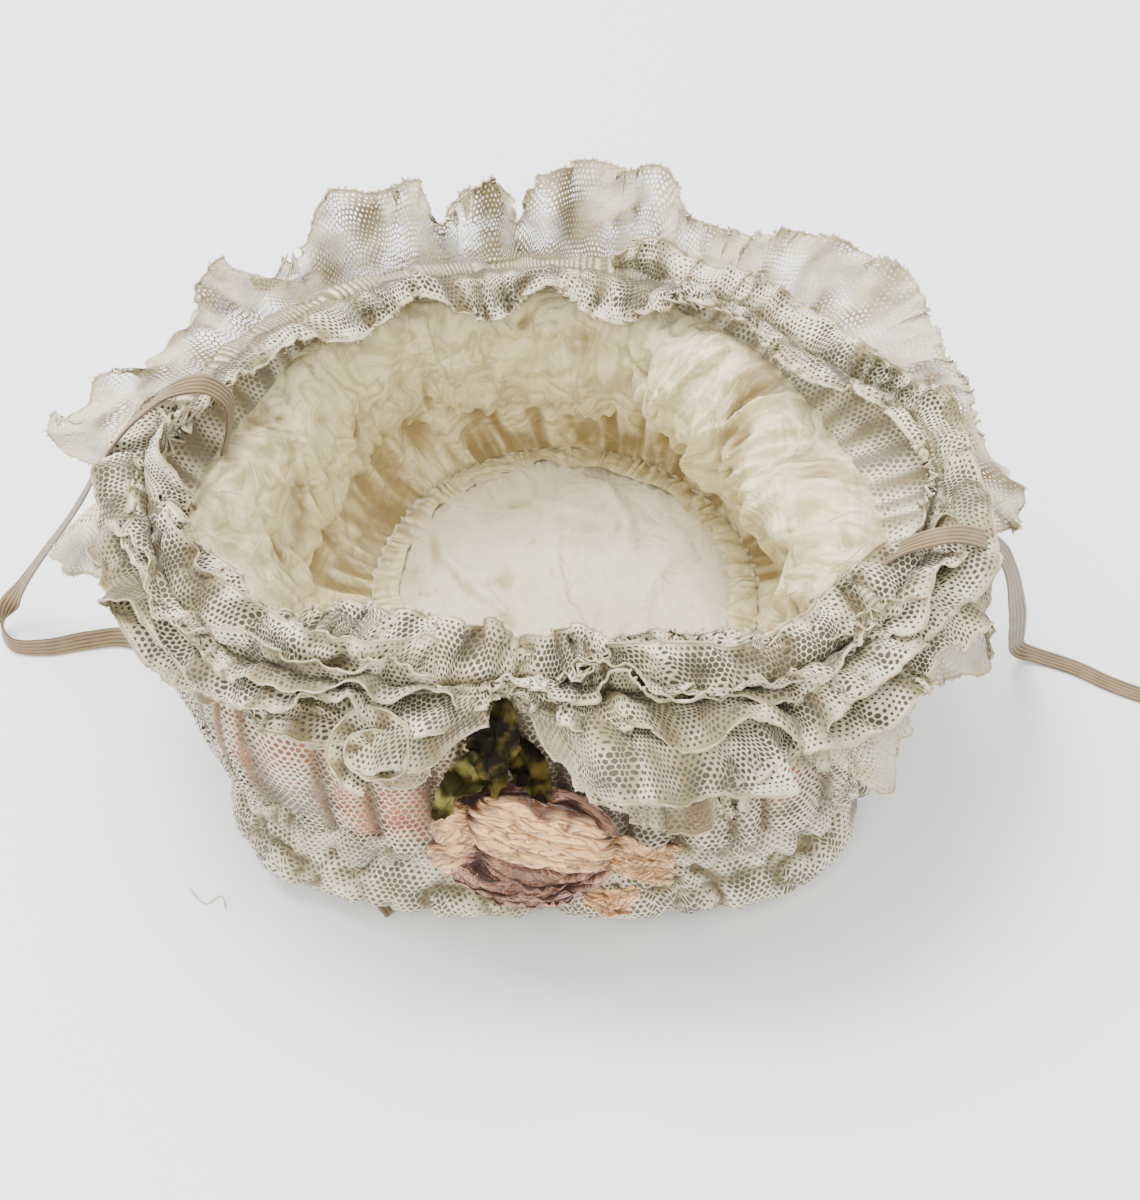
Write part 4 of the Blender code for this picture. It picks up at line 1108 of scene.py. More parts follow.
@dataclass(frozen=True)
class Outline:
    """Sizes of the bonnet's form, the same as the solids have, and points on it."""

    head_radius: float = 72 * MM
    head_height: float = 74 * MM
    brim_width: float = 10 * MM
    brim_rise: float = 6 * MM
    crown: float = 78 * MM
    crown_height: float = 21 * MM
    flat: float = 50 * MM
    roll_width: float = 9 * MM
    roll_depth: float = 7.5 * MM
    tip_half: tuple[float, float] = (47 * MM, 51 * MM)
    tip_height: float = 22 * MM
    tip_shift: tuple[float, float] = (5 * MM, 10 * MM)
    band_height: float = 23 * MM
    fullness: float = 17 * MM
    wall: float = 1.2 * MM
    gap: float = 0.4 * MM
    casing_width: float = 5 * MM
    casing_depth: float = 2.4 * MM

    def opening(self, degrees: Array, rise: float = 0.0, out: float = 0.0) -> Array:
        """Points on the edge where silk meets net.

        Args:
            degrees: Angles.
            rise: Distance above the edge.
            out: Distance out from it.

        Returns:
            Points.
        """
        radius = self.head_radius * ring_value(HEAD_TABLE, "radius", degrees)
        height = self.head_height * ring_value(HEAD_TABLE, "height", degrees)
        return polar(degrees, radius + out, height + rise)

    def rim(self, degrees: Array) -> Array:
        """Points on the rim.

        Args:
            degrees: Angles.

        Returns:
            Points.
        """
        out = self.brim_width * ring_value(HEAD_TABLE, "brim_out", degrees)
        up = self.brim_rise * ring_value(HEAD_TABLE, "brim_up", degrees)
        return self.opening(degrees) + outward(degrees) * out[..., None] + UP * up[..., None]

    def crown_radius(self, degrees: Array) -> Array:
        """Radii of the puffed crown, a little in at the left."""
        drawn_in = 1 - 0.045 * ease(degrees % 360, 176, 196) * (1 - ease(degrees % 360, 206, 226))
        return self.crown * drawn_in * ring_value(SIDE_TABLE, "radius", degrees)

    def roll(self, degrees: Array) -> Array:
        """Middle of the padded roll on the puff."""
        inset = self.crown * 0.065 + self.wall * 0.5
        return polar(degrees, self.crown_radius(degrees) - inset,
                     self.crown_height + self.gap + self.roll_depth / 2)

    def side(self, degrees: Array, share: Array) -> Array:
        """Points on the net side.

        Args:
            degrees: Angles.
            share: From its lowest lobes (0) to the rim (1).

        Returns:
            Points.
        """
        low_height = self.crown_height + self.roll_depth + self.gap + self.wall / 2 + 3.6 * MM
        low = polar(degrees, self.crown_radius(degrees) + 1.0 * MM, low_height)
        top = self.rim(degrees) + outward(degrees) * (self.wall / 2 + self.gap) - UP * (self.wall / 2)
        belly = self.brim_width * ring_value(SIDE_TABLE, "belly", degrees) * np.sin(np.pi * share)
        return low + (top - low) * share[..., None] + outward(degrees) * belly[..., None]

    def tip(self, degrees: Array, share: Array = 1.0, rise: Array = 0.0) -> Array:
        """Points on the oval tip, from its middle (0) to its edge (1), raised over its level."""
        turn = np.radians(degrees)
        return stacked(self.tip_shift[0] + self.tip_half[0] * share * np.cos(turn),
                       self.tip_shift[1] + self.tip_half[1] * share * np.sin(turn),
                       self.tip_height + rise)

    def shoulder(self, degrees: Array) -> Array:
        """Where the lining turns upright, level with the foot of the silk band.

        Args:
            degrees: Angles.

        Returns:
            Points.
        """
        edge, top = self.tip(degrees), self.opening(degrees)
        share = ring_value(SIDE_TABLE, "shoulder", degrees)[..., None]
        point = edge + (top - edge) * share
        point[..., 2] = top[..., 2] - self.band_height - 3 * MM
        return point

    def casing(self, degrees: Array) -> Array:
        """Middle of the gathered casing on the rim."""
        seat = self.wall / 2 + self.gap + self.casing_depth / 2
        return self.rim(degrees) - outward(degrees) * self.casing_width * 0.2 + UP * seat

    def frill(self, table: Sequence[EdgeRow], width: float, seat: Seat, closed: bool,
              degrees: Array, share: Array) -> Array:
        """Points on a frill without its pleats.

        Args:
            table: Its free edge.
            width: Its depth.
            seat: Side of the casing it is sewn to.
            closed: Whether it runs all round.
            degrees: Angles, one a row.
            share: From the casing (0) to the free edge (1), one a column.

        Returns:
            Points, rows by columns.
        """
        value = ring_value if closed else open_value
        degrees, share = degrees[:, None], share[None, :]
        stand = self.casing_width / 2 + self.gap + self.wall / 2
        lift = self.casing_depth / 2 + self.gap + self.wall / 2 if seat is Seat.TOP else 0.4 * MM
        root = self.casing(degrees) + outward(degrees) * (seat.value * stand) + UP * lift
        radius = np.hypot(root[..., 0], root[..., 1]) + width * value(table, "out", degrees) * share
        bow = width * value(table, "bow", degrees) * np.sin(np.pi * share)
        height = root[..., 2] + width * value(table, "up", degrees) * share + bow
        return polar(degrees + value(table, "swing", degrees) * share, radius, height)


FORM = Outline()
RUFFLE_WIDTH = 28 * MM


def circle(rows: int) -> Array:
    """Even angles once round."""
    return np.arange(rows) * 360.0 / rows


def band(degrees: Array, size: float, level: float = 0.0) -> Array:
    """Places for noise that closes round the bonnet, one bump to size degrees."""
    return polar(degrees, 57.3 / size, level)


def oval(middle: Array, degrees: Array, turn: Array, half_wide: Array, half_deep: float) -> Array:
    """Points round an oval tube that runs round the bonnet.

    Args:
        middle: The tube's middle.
        degrees: Angles round the bonnet, one a row.
        turn: Angles round the tube in radians, one a column.
        half_wide: Half its width.
        half_deep: Half its height.

    Returns:
        Points, rows by columns.
    """
    wide, deep = half_wide * np.cos(turn), half_deep * np.sin(turn)
    return middle + outward(degrees) * wide[..., None] + UP * deep[..., None]


@dataclass
class Studio:
    """Pale floor, soft lights and the photograph's camera."""

    elevation: float = 47.0
    distance: float = 0.48
    target: tuple[float, float, float] = (0.0, 0.0, 0.045)
    lens: float = 61.2
    shift: tuple[float, float] = (0.0208, -0.0333)
    floor_half: float = 3.0
    key_place: tuple[float, float, float] = (-0.35, 0.25, 1.3)
    key_size: float = 0.8
    key_power: float = 36.0
    fill_place: tuple[float, float, float] = (-0.3, -1.1, 1.0)
    fill_size: float = 1.2
    fill_power: float = 12.0
    sky: Colour = (0.98, 0.98, 0.96)
    sky_strength: float = 1.65

    def build(self) -> None:
        """Builds floor, lights and camera."""
        self.make_floor()
        self.light("key_light", self.key_place, self.key_size, self.key_power)
        self.light("fill_light", self.fill_place, self.fill_size, self.fill_power)
        world = bpy.data.worlds.new("studio")
        world.use_nodes = True
        background = world.node_tree.nodes["Background"]
        background.inputs["Color"].default_value = (*self.sky, 1.0)
        background.inputs["Strength"].default_value = self.sky_strength
        bpy.context.scene.world = world
        self.make_camera()

    def make_floor(self) -> None:
        """Plain pale floor."""
        half = self.floor_half
        points = np.array([(-half, -half, 0), (half, -half, 0), (half, half, 0), (-half, half, 0)], float)
        mesh = bpy.data.meshes.new("floor")
        mesh.from_pydata(points.tolist(), [], [(0, 1, 2, 3)])
        g = Graph("floor_paper")
        grain = g.noise(g.place(), 2 * MM, 2.0)
        colour = g.blend(grain, (0.90, 0.915, 0.945), (0.92, 0.935, 0.965))
        mesh.materials.append(g.finish(colour, 0.9))
        floor = bpy.data.objects.new("floor", mesh)
        bpy.context.scene.collection.objects.link(floor)

    def light(self, name: str, place: tuple[float, float, float], size: float, power: float) -> None:
        """Soft square lamp that faces the bonnet.

        Args:
            name: Its name.
            place: Where it hangs.
            size: Length of its sides.
            power: Watts.
        """
        lamp = bpy.data.lights.new(name, "AREA")
        lamp.shape = "SQUARE"
        lamp.size = size
        lamp.energy = power
        thing = bpy.data.objects.new(name, lamp)
        thing.location = place
        aim = Vector(self.target) - Vector(place)
        thing.rotation_euler = aim.to_track_quat("-Z", "Y").to_euler()
        bpy.context.scene.collection.objects.link(thing)

    def make_camera(self) -> None:
        """Camera at the photograph's angle."""
        camera = bpy.data.cameras.new("camera")
        camera.lens = self.lens
        camera.shift_x, camera.shift_y = self.shift
        thing = bpy.data.objects.new("camera", camera)
        rise = math.radians(self.elevation)
        aim = Vector((0.0, math.cos(rise), -math.sin(rise)))
        thing.location = Vector(self.target) - aim * self.distance
        thing.rotation_euler = aim.to_track_quat("-Z", "Y").to_euler()
        bpy.context.scene.collection.objects.link(thing)
        bpy.context.scene.camera = thing


@dataclass
class ChinStrap:
    """One half of the elastic chin strap, a ribbed band with a free end."""

    name: str
    route: list[StrapRow]
    length: float
    width: float = 5 * MM
    thickness: float = 0.8 * MM
    ribs: int = 5
    rib_height: float = 0.12 * MM
    steps: int = 260
    columns: int = 25

    def build(self) -> None:
        rows = np.array(self.route)
        path = run_through(rows[:, :3], np.linspace(0, 1, self.steps)) * MM
        wide = run_through(rows[:, 3:], np.linspace(0, 1, self.steps))
        run = unit(np.gradient(path, axis=0))
        wide = unit(wide - run * np.sum(wide * run, axis=1, keepdims=True))
        face = np.cross(run, wide)
        across = np.linspace(-1, 1, self.columns)
        ridge = self.rib_height * np.abs(np.sin(np.pi * self.ribs * (across + 1) / 2))
        half = self.thickness / 2 - self.rib_height
        edge = np.sqrt(np.clip(1 - across ** 8, 0, 1))
        waist = 1 + 0.03 * noise(path[:, None] / (7 * MM))
        level = path[:, None] + wide[:, None] * (across * self.width / 2)[None, :, None] * waist[..., None]
        upper, lower = (level + face[:, None] * ((half * edge + ridge) * sign)[None, :, None]
                        for sign in (1, -1))
        grid = np.concatenate([upper, lower[:, ::-1]], axis=1)
        grid = np.concatenate([grid, grid[:, :1]], axis=1)
        cloth = Cloth(grid, False)
        along = np.concatenate([[0.0], np.cumsum(np.linalg.norm(np.diff(path, axis=0), axis=1))])
        v = (across + 1) / 2 * self.width
        v = np.concatenate([v, v[::-1], v[:1]])
        place = np.stack(np.broadcast_arrays(along[:, None], v[None, :]), axis=-1)
        quads = quad_corners(place)
        faces = cloth.faces().tolist()
        size = grid.shape[1]
        caps = [list(range(size - 1)), [(self.steps - 1) * size + j for j in range(size - 1)][::-1]]
        corner = [quads.reshape(-1, 2)] + [place[row, :size - 1] for row in (0, -1)]
        corner[2] = corner[2][::-1]
        thing = make_piece(self.name, grid, faces + caps, ELASTIC.material(self.name), self.name,
                           np.concatenate(corner), stands=True)


@dataclass
class Frill:
    """A length of gathered net or lace sewn to the casing."""

    name: str
    slot: str
    finish: Net
    width: float
    pleats: float = 70.0
    depth: float = 1.5 * MM
    sway: float = 0.7
    folds: float = 2.0 * MM
    fold_size: float = 9.0
    crumple: float = 1.3 * MM
    rows: int = 1300
    columns: int = 22
    seed: int = 1
    start: float = 0.0
    end: float = 360.0
    scallop: float = 0.35 * MM
    calm: tuple[float, float] = (0.0, 0.0)
    picots: float = 0.9 * MM
    edge: float = 0.28 * MM
    edge_thread: Thread = EDGE_THREAD
    stands: bool = False

    def base(self, degrees: Array, share: Array) -> Array:
        """Points without pleats; each kind of frill has its own.

        Args:
            degrees: Angles, one a row.
            share: From the root (0) to the free edge (1), one a column.

        Returns:
            Points, rows by columns.
        """
        raise NotImplementedError

    def shape(self) -> Cloth:
        """Gathers and crumples the cloth.

        Returns:
            The grid, its last column the free edge.
        """
        closed = self.end - self.start >= 360
        degrees = circle(self.rows) if closed else np.linspace(self.start, self.end, self.rows)
        share = np.linspace(0, 1, self.columns)
        cloth = Cloth(self.base(degrees, share), closed)
        a, s = degrees[:, None], share[None, :]
        drift = 2.6 * fractal(band(a, 14, self.seed), 2, self.seed)
        bend = 0.9 * noise(band(a, 9, self.seed + 5) + UP * s[..., None] * 1.5, self.seed)
        phase = np.radians(a) * self.pleats + 2 * np.pi * (drift + 0.25 * bend)
        force = 0.60 + 0.50 * noise(band(a, 11, self.seed + 9), self.seed + 2)
        reach = 0.30 + 0.70 * s ** 0.8
        if self.calm[1] > self.calm[0]:
            force = force * (1 - 0.72 * ease(a, self.calm[0], self.calm[0] + 14)
                             * (1 - ease(a, self.calm[1] - 14, self.calm[1])))
        wave = np.sin(phase)
        cloth.slide(self.depth * self.sway * force * reach * s * np.sin(2 * phase + 0.6))
        cloth.push(self.depth * force * reach * wave)
        large = puffs(band(a, self.fold_size, self.seed + 3) + UP * s[..., None] * 1.1, 2, self.seed + 6)
        cloth.push(self.folds * (1.9 * large - 0.7) * s ** 0.7)
        rough = fractal(cloth.points / (7 * MM), 3, self.seed + 4)
        crisp = puffs(cloth.points / (11 * MM), 2, self.seed + 8)
        cloth.push(self.crumple * (rough + 1.2 * crisp - 0.5) * (0.25 + 0.75 * s))
        cloth.push(np.sin(3 * phase + 2.0) * self.scallop * 2 * ease(s, 0.7, 1.0))
        # Painted shade in the pleats' hollows and folds, and darker still near the root.
        fold = 0.5 + 0.36 * force * wave * np.sign(self.depth) + 0.6 * (large - 0.4) + 0.3 * rough
        cloth.fold = np.clip(1.3 * np.clip(fold, 0, 1) - 0.2, 0, 1) * (0.2 + 0.8 * ease(s, 0.0, 0.3))
        return cloth

    def trim(self, cloth: Cloth) -> tuple[Array, list]:
        """Corded edge with picots.

        Args:
            cloth: The frill.

        Returns:
            Vertices and faces.
        """
        line = cloth.points[:, -1]
        heading = unit(line - cloth.points[:, -3])
        steps = np.linalg.norm(np.diff(line, axis=0), axis=1)
        along = np.concatenate([[0], np.cumsum(steps)])
        count = int(along[-1] / (2.1 * MM))
        places = (np.arange(count) + 0.5) * along[-1] / count
        index = np.searchsorted(along, places).clip(0, len(line) - 1)
        vary = 0.75 + 0.5 * noise(line[index] / (2.3 * MM), self.seed)
        lean = unit(heading[index] + 0.35 * np.stack([noise(line[index] / MM, k) for k in (1, 2, 3)], -1))
        uneven = 1 + 0.4 * noise(line / (2 * MM)) + 0.3 * noise(line / (0.8 * MM), 1)
        cord = tube(line, self.edge * uneven, 4, cloth.closed)
        loops = tufts(line[index], lean, self.picots * vary, 0.75 * MM)
        return joined([cord, loops])

    def build(self) -> None:
        """Builds the frill and its edge."""
        cloth = self.shape()
        thing = cloth.build(self.name, self.finish, self.slot, self.stands)
        points, faces = self.trim(cloth)
        edge = make_piece(self.name + "_edge", points, faces, self.edge_thread.material(self.name + "_edge"),
                          self.slot)


@dataclass
class TableFrill(Frill):
    """Frill whose free edge follows a table."""

    table: list[EdgeRow] = field(default_factory=list)
    seat: Seat = Seat.OUTER
    cuts: tuple[tuple[float, float, float], ...] = ()

    def base(self, degrees: Array, share: Array) -> Array:
        """See Frill."""
        closed = self.end - self.start >= 360
        short = np.zeros_like(degrees)
        for start, end, less in self.cuts:
            side = min(12.0, (end - start) / 3)
            short += less * ease(degrees, start, start + side) * (1 - ease(degrees, end - side, end))
        full = FORM.frill(self.table, self.width, self.seat, closed, degrees, share)
        full = full[:, :1] + (full - full[:, :1]) * (1 - short[:, None, None])
        full[:, 0] -= outward(degrees) * (self.seat.value * 2.6 * MM)
        return full


@dataclass
class HeapFrill(Frill):
    """Frill heaped on the rim, that rises and curls over."""

    root: tuple[float, float] = (0.0, 2.0)
    lean: float = 80.0
    toss: float = 35.0
    toss_size: float = 7.0
    curl: float = -60.0

    def base(self, degrees: Array, share: Array) -> Array:
        """See Frill."""
        a, s = degrees[:, None], share[None, :]
        root = FORM.casing(a) + (outward(a) * self.root[0] + UP * self.root[1]) * MM
        tossed = self.toss * 1.6 * fractal(band(a, self.toss_size, self.seed), 2, self.seed)
        start = np.radians(self.lean + tossed)
        turn = np.radians(self.curl * (1 + 0.6 * noise(band(a, 10, self.seed + 1), self.seed)))
        ends = np.ones_like(a)
        if self.end - self.start < 360:
            ends = ease(a, self.start, self.start + 9) * (1 - ease(a, self.end - 9, self.end))
        width = self.width * (0.35 + 0.65 * ends) * (1 + 0.22 * noise(band(a, 8, self.seed + 2), self.seed))
        out = width * (np.sin(start + turn * s) - np.sin(start)) / turn
        up = -width * (np.cos(start + turn * s) - np.cos(start)) / turn
        return root + outward(a) * out[..., None] + UP * up[..., None]


@dataclass
class Crown:
    """Puffed net crown, flat where it lies, with the padded roll on it."""

    rows: int = 880
    columns: int = 40
    roll_columns: int = 21
    puff_gathers: int = 46
    roll_gathers: int = 84
    profile: tuple[tuple[float, float], ...] = (    # share of the radius, height in millimetres
        (0.80, 2.2), (0.94, 4.0), (1.0, 8.5), (0.97, 13.5), (0.92, 17.4), (0.86, 19.2))

    def build(self) -> None:
        """Builds puff and roll."""
        self.make_puff()
        self.make_roll()

    def make_puff(self) -> None:
        """Lobed puff of net over a pale inner layer."""
        a = circle(self.rows)
        radius = FORM.crown_radius(a)
        stations = [polar(a, 3 * MM, 0.25 * MM), polar(a, FORM.flat * 0.6, 0.25 * MM),
                    polar(a, FORM.flat, 0.3 * MM)]
        stations += [polar(a, radius * share, height * MM) for share, height in self.profile]
        cloth = Cloth(through(stations, self.columns), True)
        s = np.linspace(0, 1, self.columns)[None, :]
        a = a[:, None]
        drift = 2.0 * fractal(band(a, 16, 3), 2, 3)
        phase = np.radians(a) * self.puff_gathers + 2 * np.pi * drift + 3.0 * s
        rising = ease(s, 0.30, 0.55)
        spot = band(a, 8, 3) + UP * (s * 6.0)[..., None]
        lump = puffs(spot + 0.3 * noise(spot * 2, 4)[..., None], 2, 5) ** 0.6
        amount = rising * (4.6 * np.minimum(lump, 0.9) - 2.2 + 0.2 * np.sin(phase)) * MM
        cloth.push(amount * (1 - ease(s, 0.86, 0.97)))
        # Painted shade between the puff's lobes.
        cloth.fold = np.clip(lump * 1.7 - 0.55, 0, 1)
        cloth.points[..., 2] = np.maximum(cloth.points[..., 2], 0.2 * MM)
        cloth.build("crown_puff", PADDED_NET, "crown_base")

    def make_roll(self) -> None:
        """Padded roll, gathered on a slant."""
        a = circle(self.rows)[:, None]
        turn = np.linspace(-np.pi, np.pi, self.roll_columns)[None, :]
        cloth = Cloth(oval(FORM.roll(a), a, turn, FORM.roll_width / 2, FORM.roll_depth / 2), True)
        drift = 2.2 * fractal(band(a, 12, 8), 2, 8)
        phase = np.radians(a) * self.roll_gathers + 2 * np.pi * drift + 1.6 * turn
        lump = puffs(band(a, 5, 2.0) + UP * (turn * 0.6)[..., None], 2, 9)
        rough = fractal(cloth.points / (3 * MM), 2, 10)
        outer = 0.5 + 0.5 * np.cos(turn)
        cloth.push((0.45 * np.sin(phase) + 3.0 * lump - 1.0 + 0.35 * rough) * outer * MM)
        # Painted shade in the roll's gathers, lighter on its puffs.
        cloth.fold = np.clip(0.10 + 0.25 * np.sin(phase) + 1.2 * lump, 0, 1)
        cloth.build("crown_roll_net", ROLL_NET, "crown_roll")


@dataclass
class Side:
    """Net side gathered at its foot, with faded pink silk behind it."""

    rows: int = 1100
    columns: int = 24
    tuck: float = 0.12
    gather_count: int = 29

    def grid(self, share: Array, inset: float) -> tuple[Array, Array]:
        """Angles and points of a layer, from the lowest lobes (0) to the rim (1), set inward."""
        a = circle(self.rows)[:, None]
        return a, FORM.side(a, share[None, :]) - outward(a) * inset

    def gathers(self, a: Array, s: Array, seed: int) -> tuple[Array, Array]:
        """Deep slanted gathers that fade upward.

        Args:
            a: Angles.
            s: Share up the side.
            seed: Picks the pattern.

        Returns:
            Outward distance in metres, and the lobes from 0 in a crease to 1.
        """
        drift = 1.1 * fractal(band(a, 13, seed), 2, seed)
        phase = np.radians(a) * self.gather_count + np.pi * drift + 1.3 * s
        lobe = np.abs(np.sin(phase)) ** 0.55
        deep = 0.8 + 2.8 * np.exp(-3.2 * np.clip(s, 0, 1))
        fine = np.sin(7 * phase + 6 * fractal(band(a, 6, seed), 2, seed + 1))
        rough = fractal(band(a, 7, 3) + UP * (s * 3)[..., None], 2, 4)
        return (deep * (lobe - 0.75) + 0.22 * fine + 0.7 * rough) * MM, lobe

    def build(self) -> None:
        """Builds silk and net."""
        share = np.concatenate([np.linspace(-self.tuck, 0.0, 6)[:-1], np.linspace(0, 1, self.columns)])
        tuck = np.clip(-share, 0, 1)[None, :] / self.tuck
        under = outward(circle(self.rows))[:, None] * (6.5 * MM * tuck ** 1.3)[..., None]
        under = under + UP * (3.4 * MM * np.sin(tuck * np.pi / 2))[..., None]
        a, points = self.grid(np.clip(share, 0.02, 0.98), 1.6 * MM)
        silk = Cloth(points - under, True)
        depth, lobe = self.gathers(a, share[None, :], 21)
        silk.push(depth * 0.5 * (1 - 0.7 * tuck))
        # Painted shade in the creases between the lobes.
        silk.fold = np.clip(1.7 * lobe - 0.75, 0, 1)[::2]
        silk.points = silk.points[::2]
        silk.build("side_silk", PINK_SILK, "side_underlay")
        a, points = self.grid(np.clip(share, 0, 1), 0.0)
        net = Cloth(points - under, True)
        net.push(depth * (1 - 0.6 * tuck))
        sag = np.clip(depth, -1 * MM, 2 * MM) * 0.9 * (1 - ease(share[None, :], 0.0, 0.3))
        net.points -= UP * sag[..., None]
        # Painted shade in the creases between the lobes.
        net.fold = np.clip(1.6 * lobe - 0.65, 0, 1)
        net.build("side_net", SIDE_NET, "side_band")


class FoldRow(NamedTuple):
    """Soft fold of the tip, from a start to an end, in millimetres."""

    x0: float
    y0: float
    x1: float
    y1: float
    bow: float
    wide: float
    high: float


@dataclass
class Lining:
    """Cotton tip, its gathered seam, and the silk side up to the opening."""

    rows: int = 800
    columns: int = 32
    tip_rows: int = 240
    tip_columns: int = 44
    seam_rows: int = 1400
    seam_columns: int = 10
    seam_gathers: int = 84
    side_gathers: int = 66
    folds: tuple[FoldRow, ...] = (
        FoldRow(-31, 36, 1, -6, 5, 1.6, 2.0),
        FoldRow(12, 50, 20, 16, -4, 2.2, 1.5),
        FoldRow(-12, 46, 30, 30, 3, 3.2, 1.2),
        FoldRow(23, -6, 38, 26, -4, 2.2, 1.6),
        FoldRow(-36, 12, -18, -18, 3, 2.2, 1.4),
        FoldRow(4, 30, 14, -12, 5, 1.5, 1.1),
        FoldRow(-22, 10, 10, 14, -4, 3.0, 0.9),
    )

    def build(self) -> None:
        """Builds the three pieces."""
        self.make_tip()
        self.make_seam()
        self.make_side()

    def make_tip(self) -> None:
        """Fine cotton tip, softly creased."""
        a, share = circle(self.tip_rows)[:, None], np.linspace(0.03, 1.04, self.tip_columns)[None, :]
        cloth = Cloth(FORM.tip(a, share, 1.6 * MM * (1 - share ** 2)), True)
        place = cloth.points
        spot = place / (24 * MM) * [1.3, 0.7, 1]
        crease = puffs(spot + 0.35 * noise(spot * 1.6, 9)[..., None], 3, 6)
        soft = fractal(place / (9 * MM), 3, 4)
        phase = np.radians(a) * self.seam_gathers + 9 * fractal(band(a, 12), 2, 1)
        edge = 0.6 * np.sin(phase) * ease(share, 0.62, 1.0)
        lines, shade = self.creases(place[..., 0] / MM, place[..., 1] / MM)
        inner = 1 - ease(share, 0.8, 1.0)
        cloth.push(-((2.2 * crease - 0.8 + 0.5 * soft + 1.25 * lines) * inner + edge) * MM)
        # Painted shade in the creases and on each crease's far flank.
        fold = np.clip(0.30 + 1.1 * crease + 0.3 * soft - 0.6 * shade, 0, 1)
        faces = cloth.faces()
        middle = cloth.points[:, 0].mean(axis=0)
        points = np.concatenate([cloth.points.reshape(-1, 3), middle[None]])
        count, columns = self.tip_rows, self.tip_columns
        cap = [[len(points) - 1, i * columns, (i + 1) % count * columns] for i in range(count)]
        uv = points[np.concatenate([faces.ravel(), np.array(cap).ravel()])][:, :2]
        thing = make_piece("tip_cotton", points, faces.tolist() + cap, WHITE_COTTON.material("tip_cotton"),
                           "lining_tip", uv, np.append(fold.ravel(), 0.8), True)

    def creases(self, x: Array, y: Array) -> tuple[Array, Array]:
        """Long soft creases of the tip.

        Args:
            x: Millimetres to the right.
            y: Millimetres to the back.

        Returns:
            Relief in millimetres, and shading from 0 to 1 on each crease's far flank.
        """
        relief, shade = np.zeros_like(x), np.zeros_like(x)
        for x0, y0, x1, y1, bow, wide, high in self.folds:
            length = math.hypot(x1 - x0, y1 - y0)
            along = ((x - x0) * (x1 - x0) + (y - y0) * (y1 - y0)) / length ** 2
            off = ((x - x0) * (y1 - y0) - (y - y0) * (x1 - x0)) / length
            off = off - bow * 4 * along * (1 - along)
            held = ease(along, -0.05, 0.3) * (1 - ease(along, 0.7, 1.05))
            relief += high * held * np.exp(-(off / wide) ** 2)
            shade += held * np.exp(-((off - wide) / (0.7 * wide)) ** 2)
        return relief, shade

    def make_seam(self) -> None:
        """Crimped selvage that stands on the tip's seam."""
        a = circle(self.seam_rows)[:, None]
        share = np.linspace(0, 1, self.seam_columns)[None, :]
        foot = FORM.tip(a, 1.0, 0.6 * MM) + outward(a) * 0.2 * MM
        lean = (6.5 + 1.6 * noise(band(a, 9, 2), 2)) * MM
        high = (1.0 + 0.7 * noise(band(a, 7, 5), 3)) * MM
        rise = high * np.sin(share * 2.0) ** 0.6
        cloth = Cloth(foot - outward(a) * (lean * share)[..., None] + UP * rise[..., None], True)
        bend = 1.6 * noise(band(a, 6, 4) + UP * (2 * share)[..., None], 5)
        phase = np.radians(a) * self.seam_gathers + 16 * fractal(band(a, 9, 4), 3, 4) + bend
        tuck = 0.45 + 0.55 * noise(band(a, 5, 8), 10)
        cloth.push(0.55 * MM * tuck * np.sin(phase) * (1.1 - share), marks=True)
        cloth.push(0.8 * MM * fractal(cloth.points / (3.5 * MM), 3, 9) * (0.3 + share))
        cloth.build("seam_selvage", CREAM_SILK, "tip_seam")

    def make_side(self) -> None:
        """Gathered silk from the tip up to the opening."""
        a = circle(self.rows)
        edge = FORM.tip(a) + outward(a) * 0.9 * MM
        shoulder, top = FORM.shoulder(a), FORM.opening(a, -0.6 * MM)
        low = edge + (shoulder - edge) * 0.42 + outward(a) * 1.5 * MM - UP * 3.0 * MM
        cloth = Cloth(through([edge, low, shoulder, top], self.columns), True)
        s = np.linspace(0, 1, self.columns)[None, :]
        a = a[:, None]
        bend = 2.2 * noise(band(a, 12) + UP * (3 * s)[..., None], 3)
        phase = np.radians(a) * self.side_gathers + 9 * fractal(band(a, 14, 2), 2, 7) + bend
        force = (0.15 + 0.75 * (1 - ease(s, 0.05, 0.45))) * (0.7 + 0.6 * noise(band(a, 20), 5))
        spot = band(a, 10, 1.0) + UP * (s * 1.7)[..., None]
        lump = puffs(spot + 0.3 * noise(spot * 1.7, 6)[..., None], 2, 8)
        wrinkle = fractal(band(a, 3.2, 1.0) + UP * (s * 3.5)[..., None], 3, 9)
        ridge = puffs(band(a, 5, 4.0) + UP * (s * 1.2)[..., None], 2, 19)
        amount = force * np.sin(phase) + 2.2 * lump - 1.3 * ridge - 0.4 + 0.3 * wrinkle
        amount = np.maximum(amount, -0.35) * ease(s, 0.0, 0.12) * (1 - ease(s, 0.42, 0.60))
        cloth.push(-amount * MM)
        # Painted shade in the gathers and creases, lighter on the puffs.
        fold = 0.52 + 0.25 * force * np.sin(phase) + 0.8 * (lump - 0.3) - 0.5 * ridge + 0.15 * wrinkle
        cloth.fold = np.clip(fold, 0, 1)
        cloth.build("lining_silk", CREAM_SILK, "lining_side")


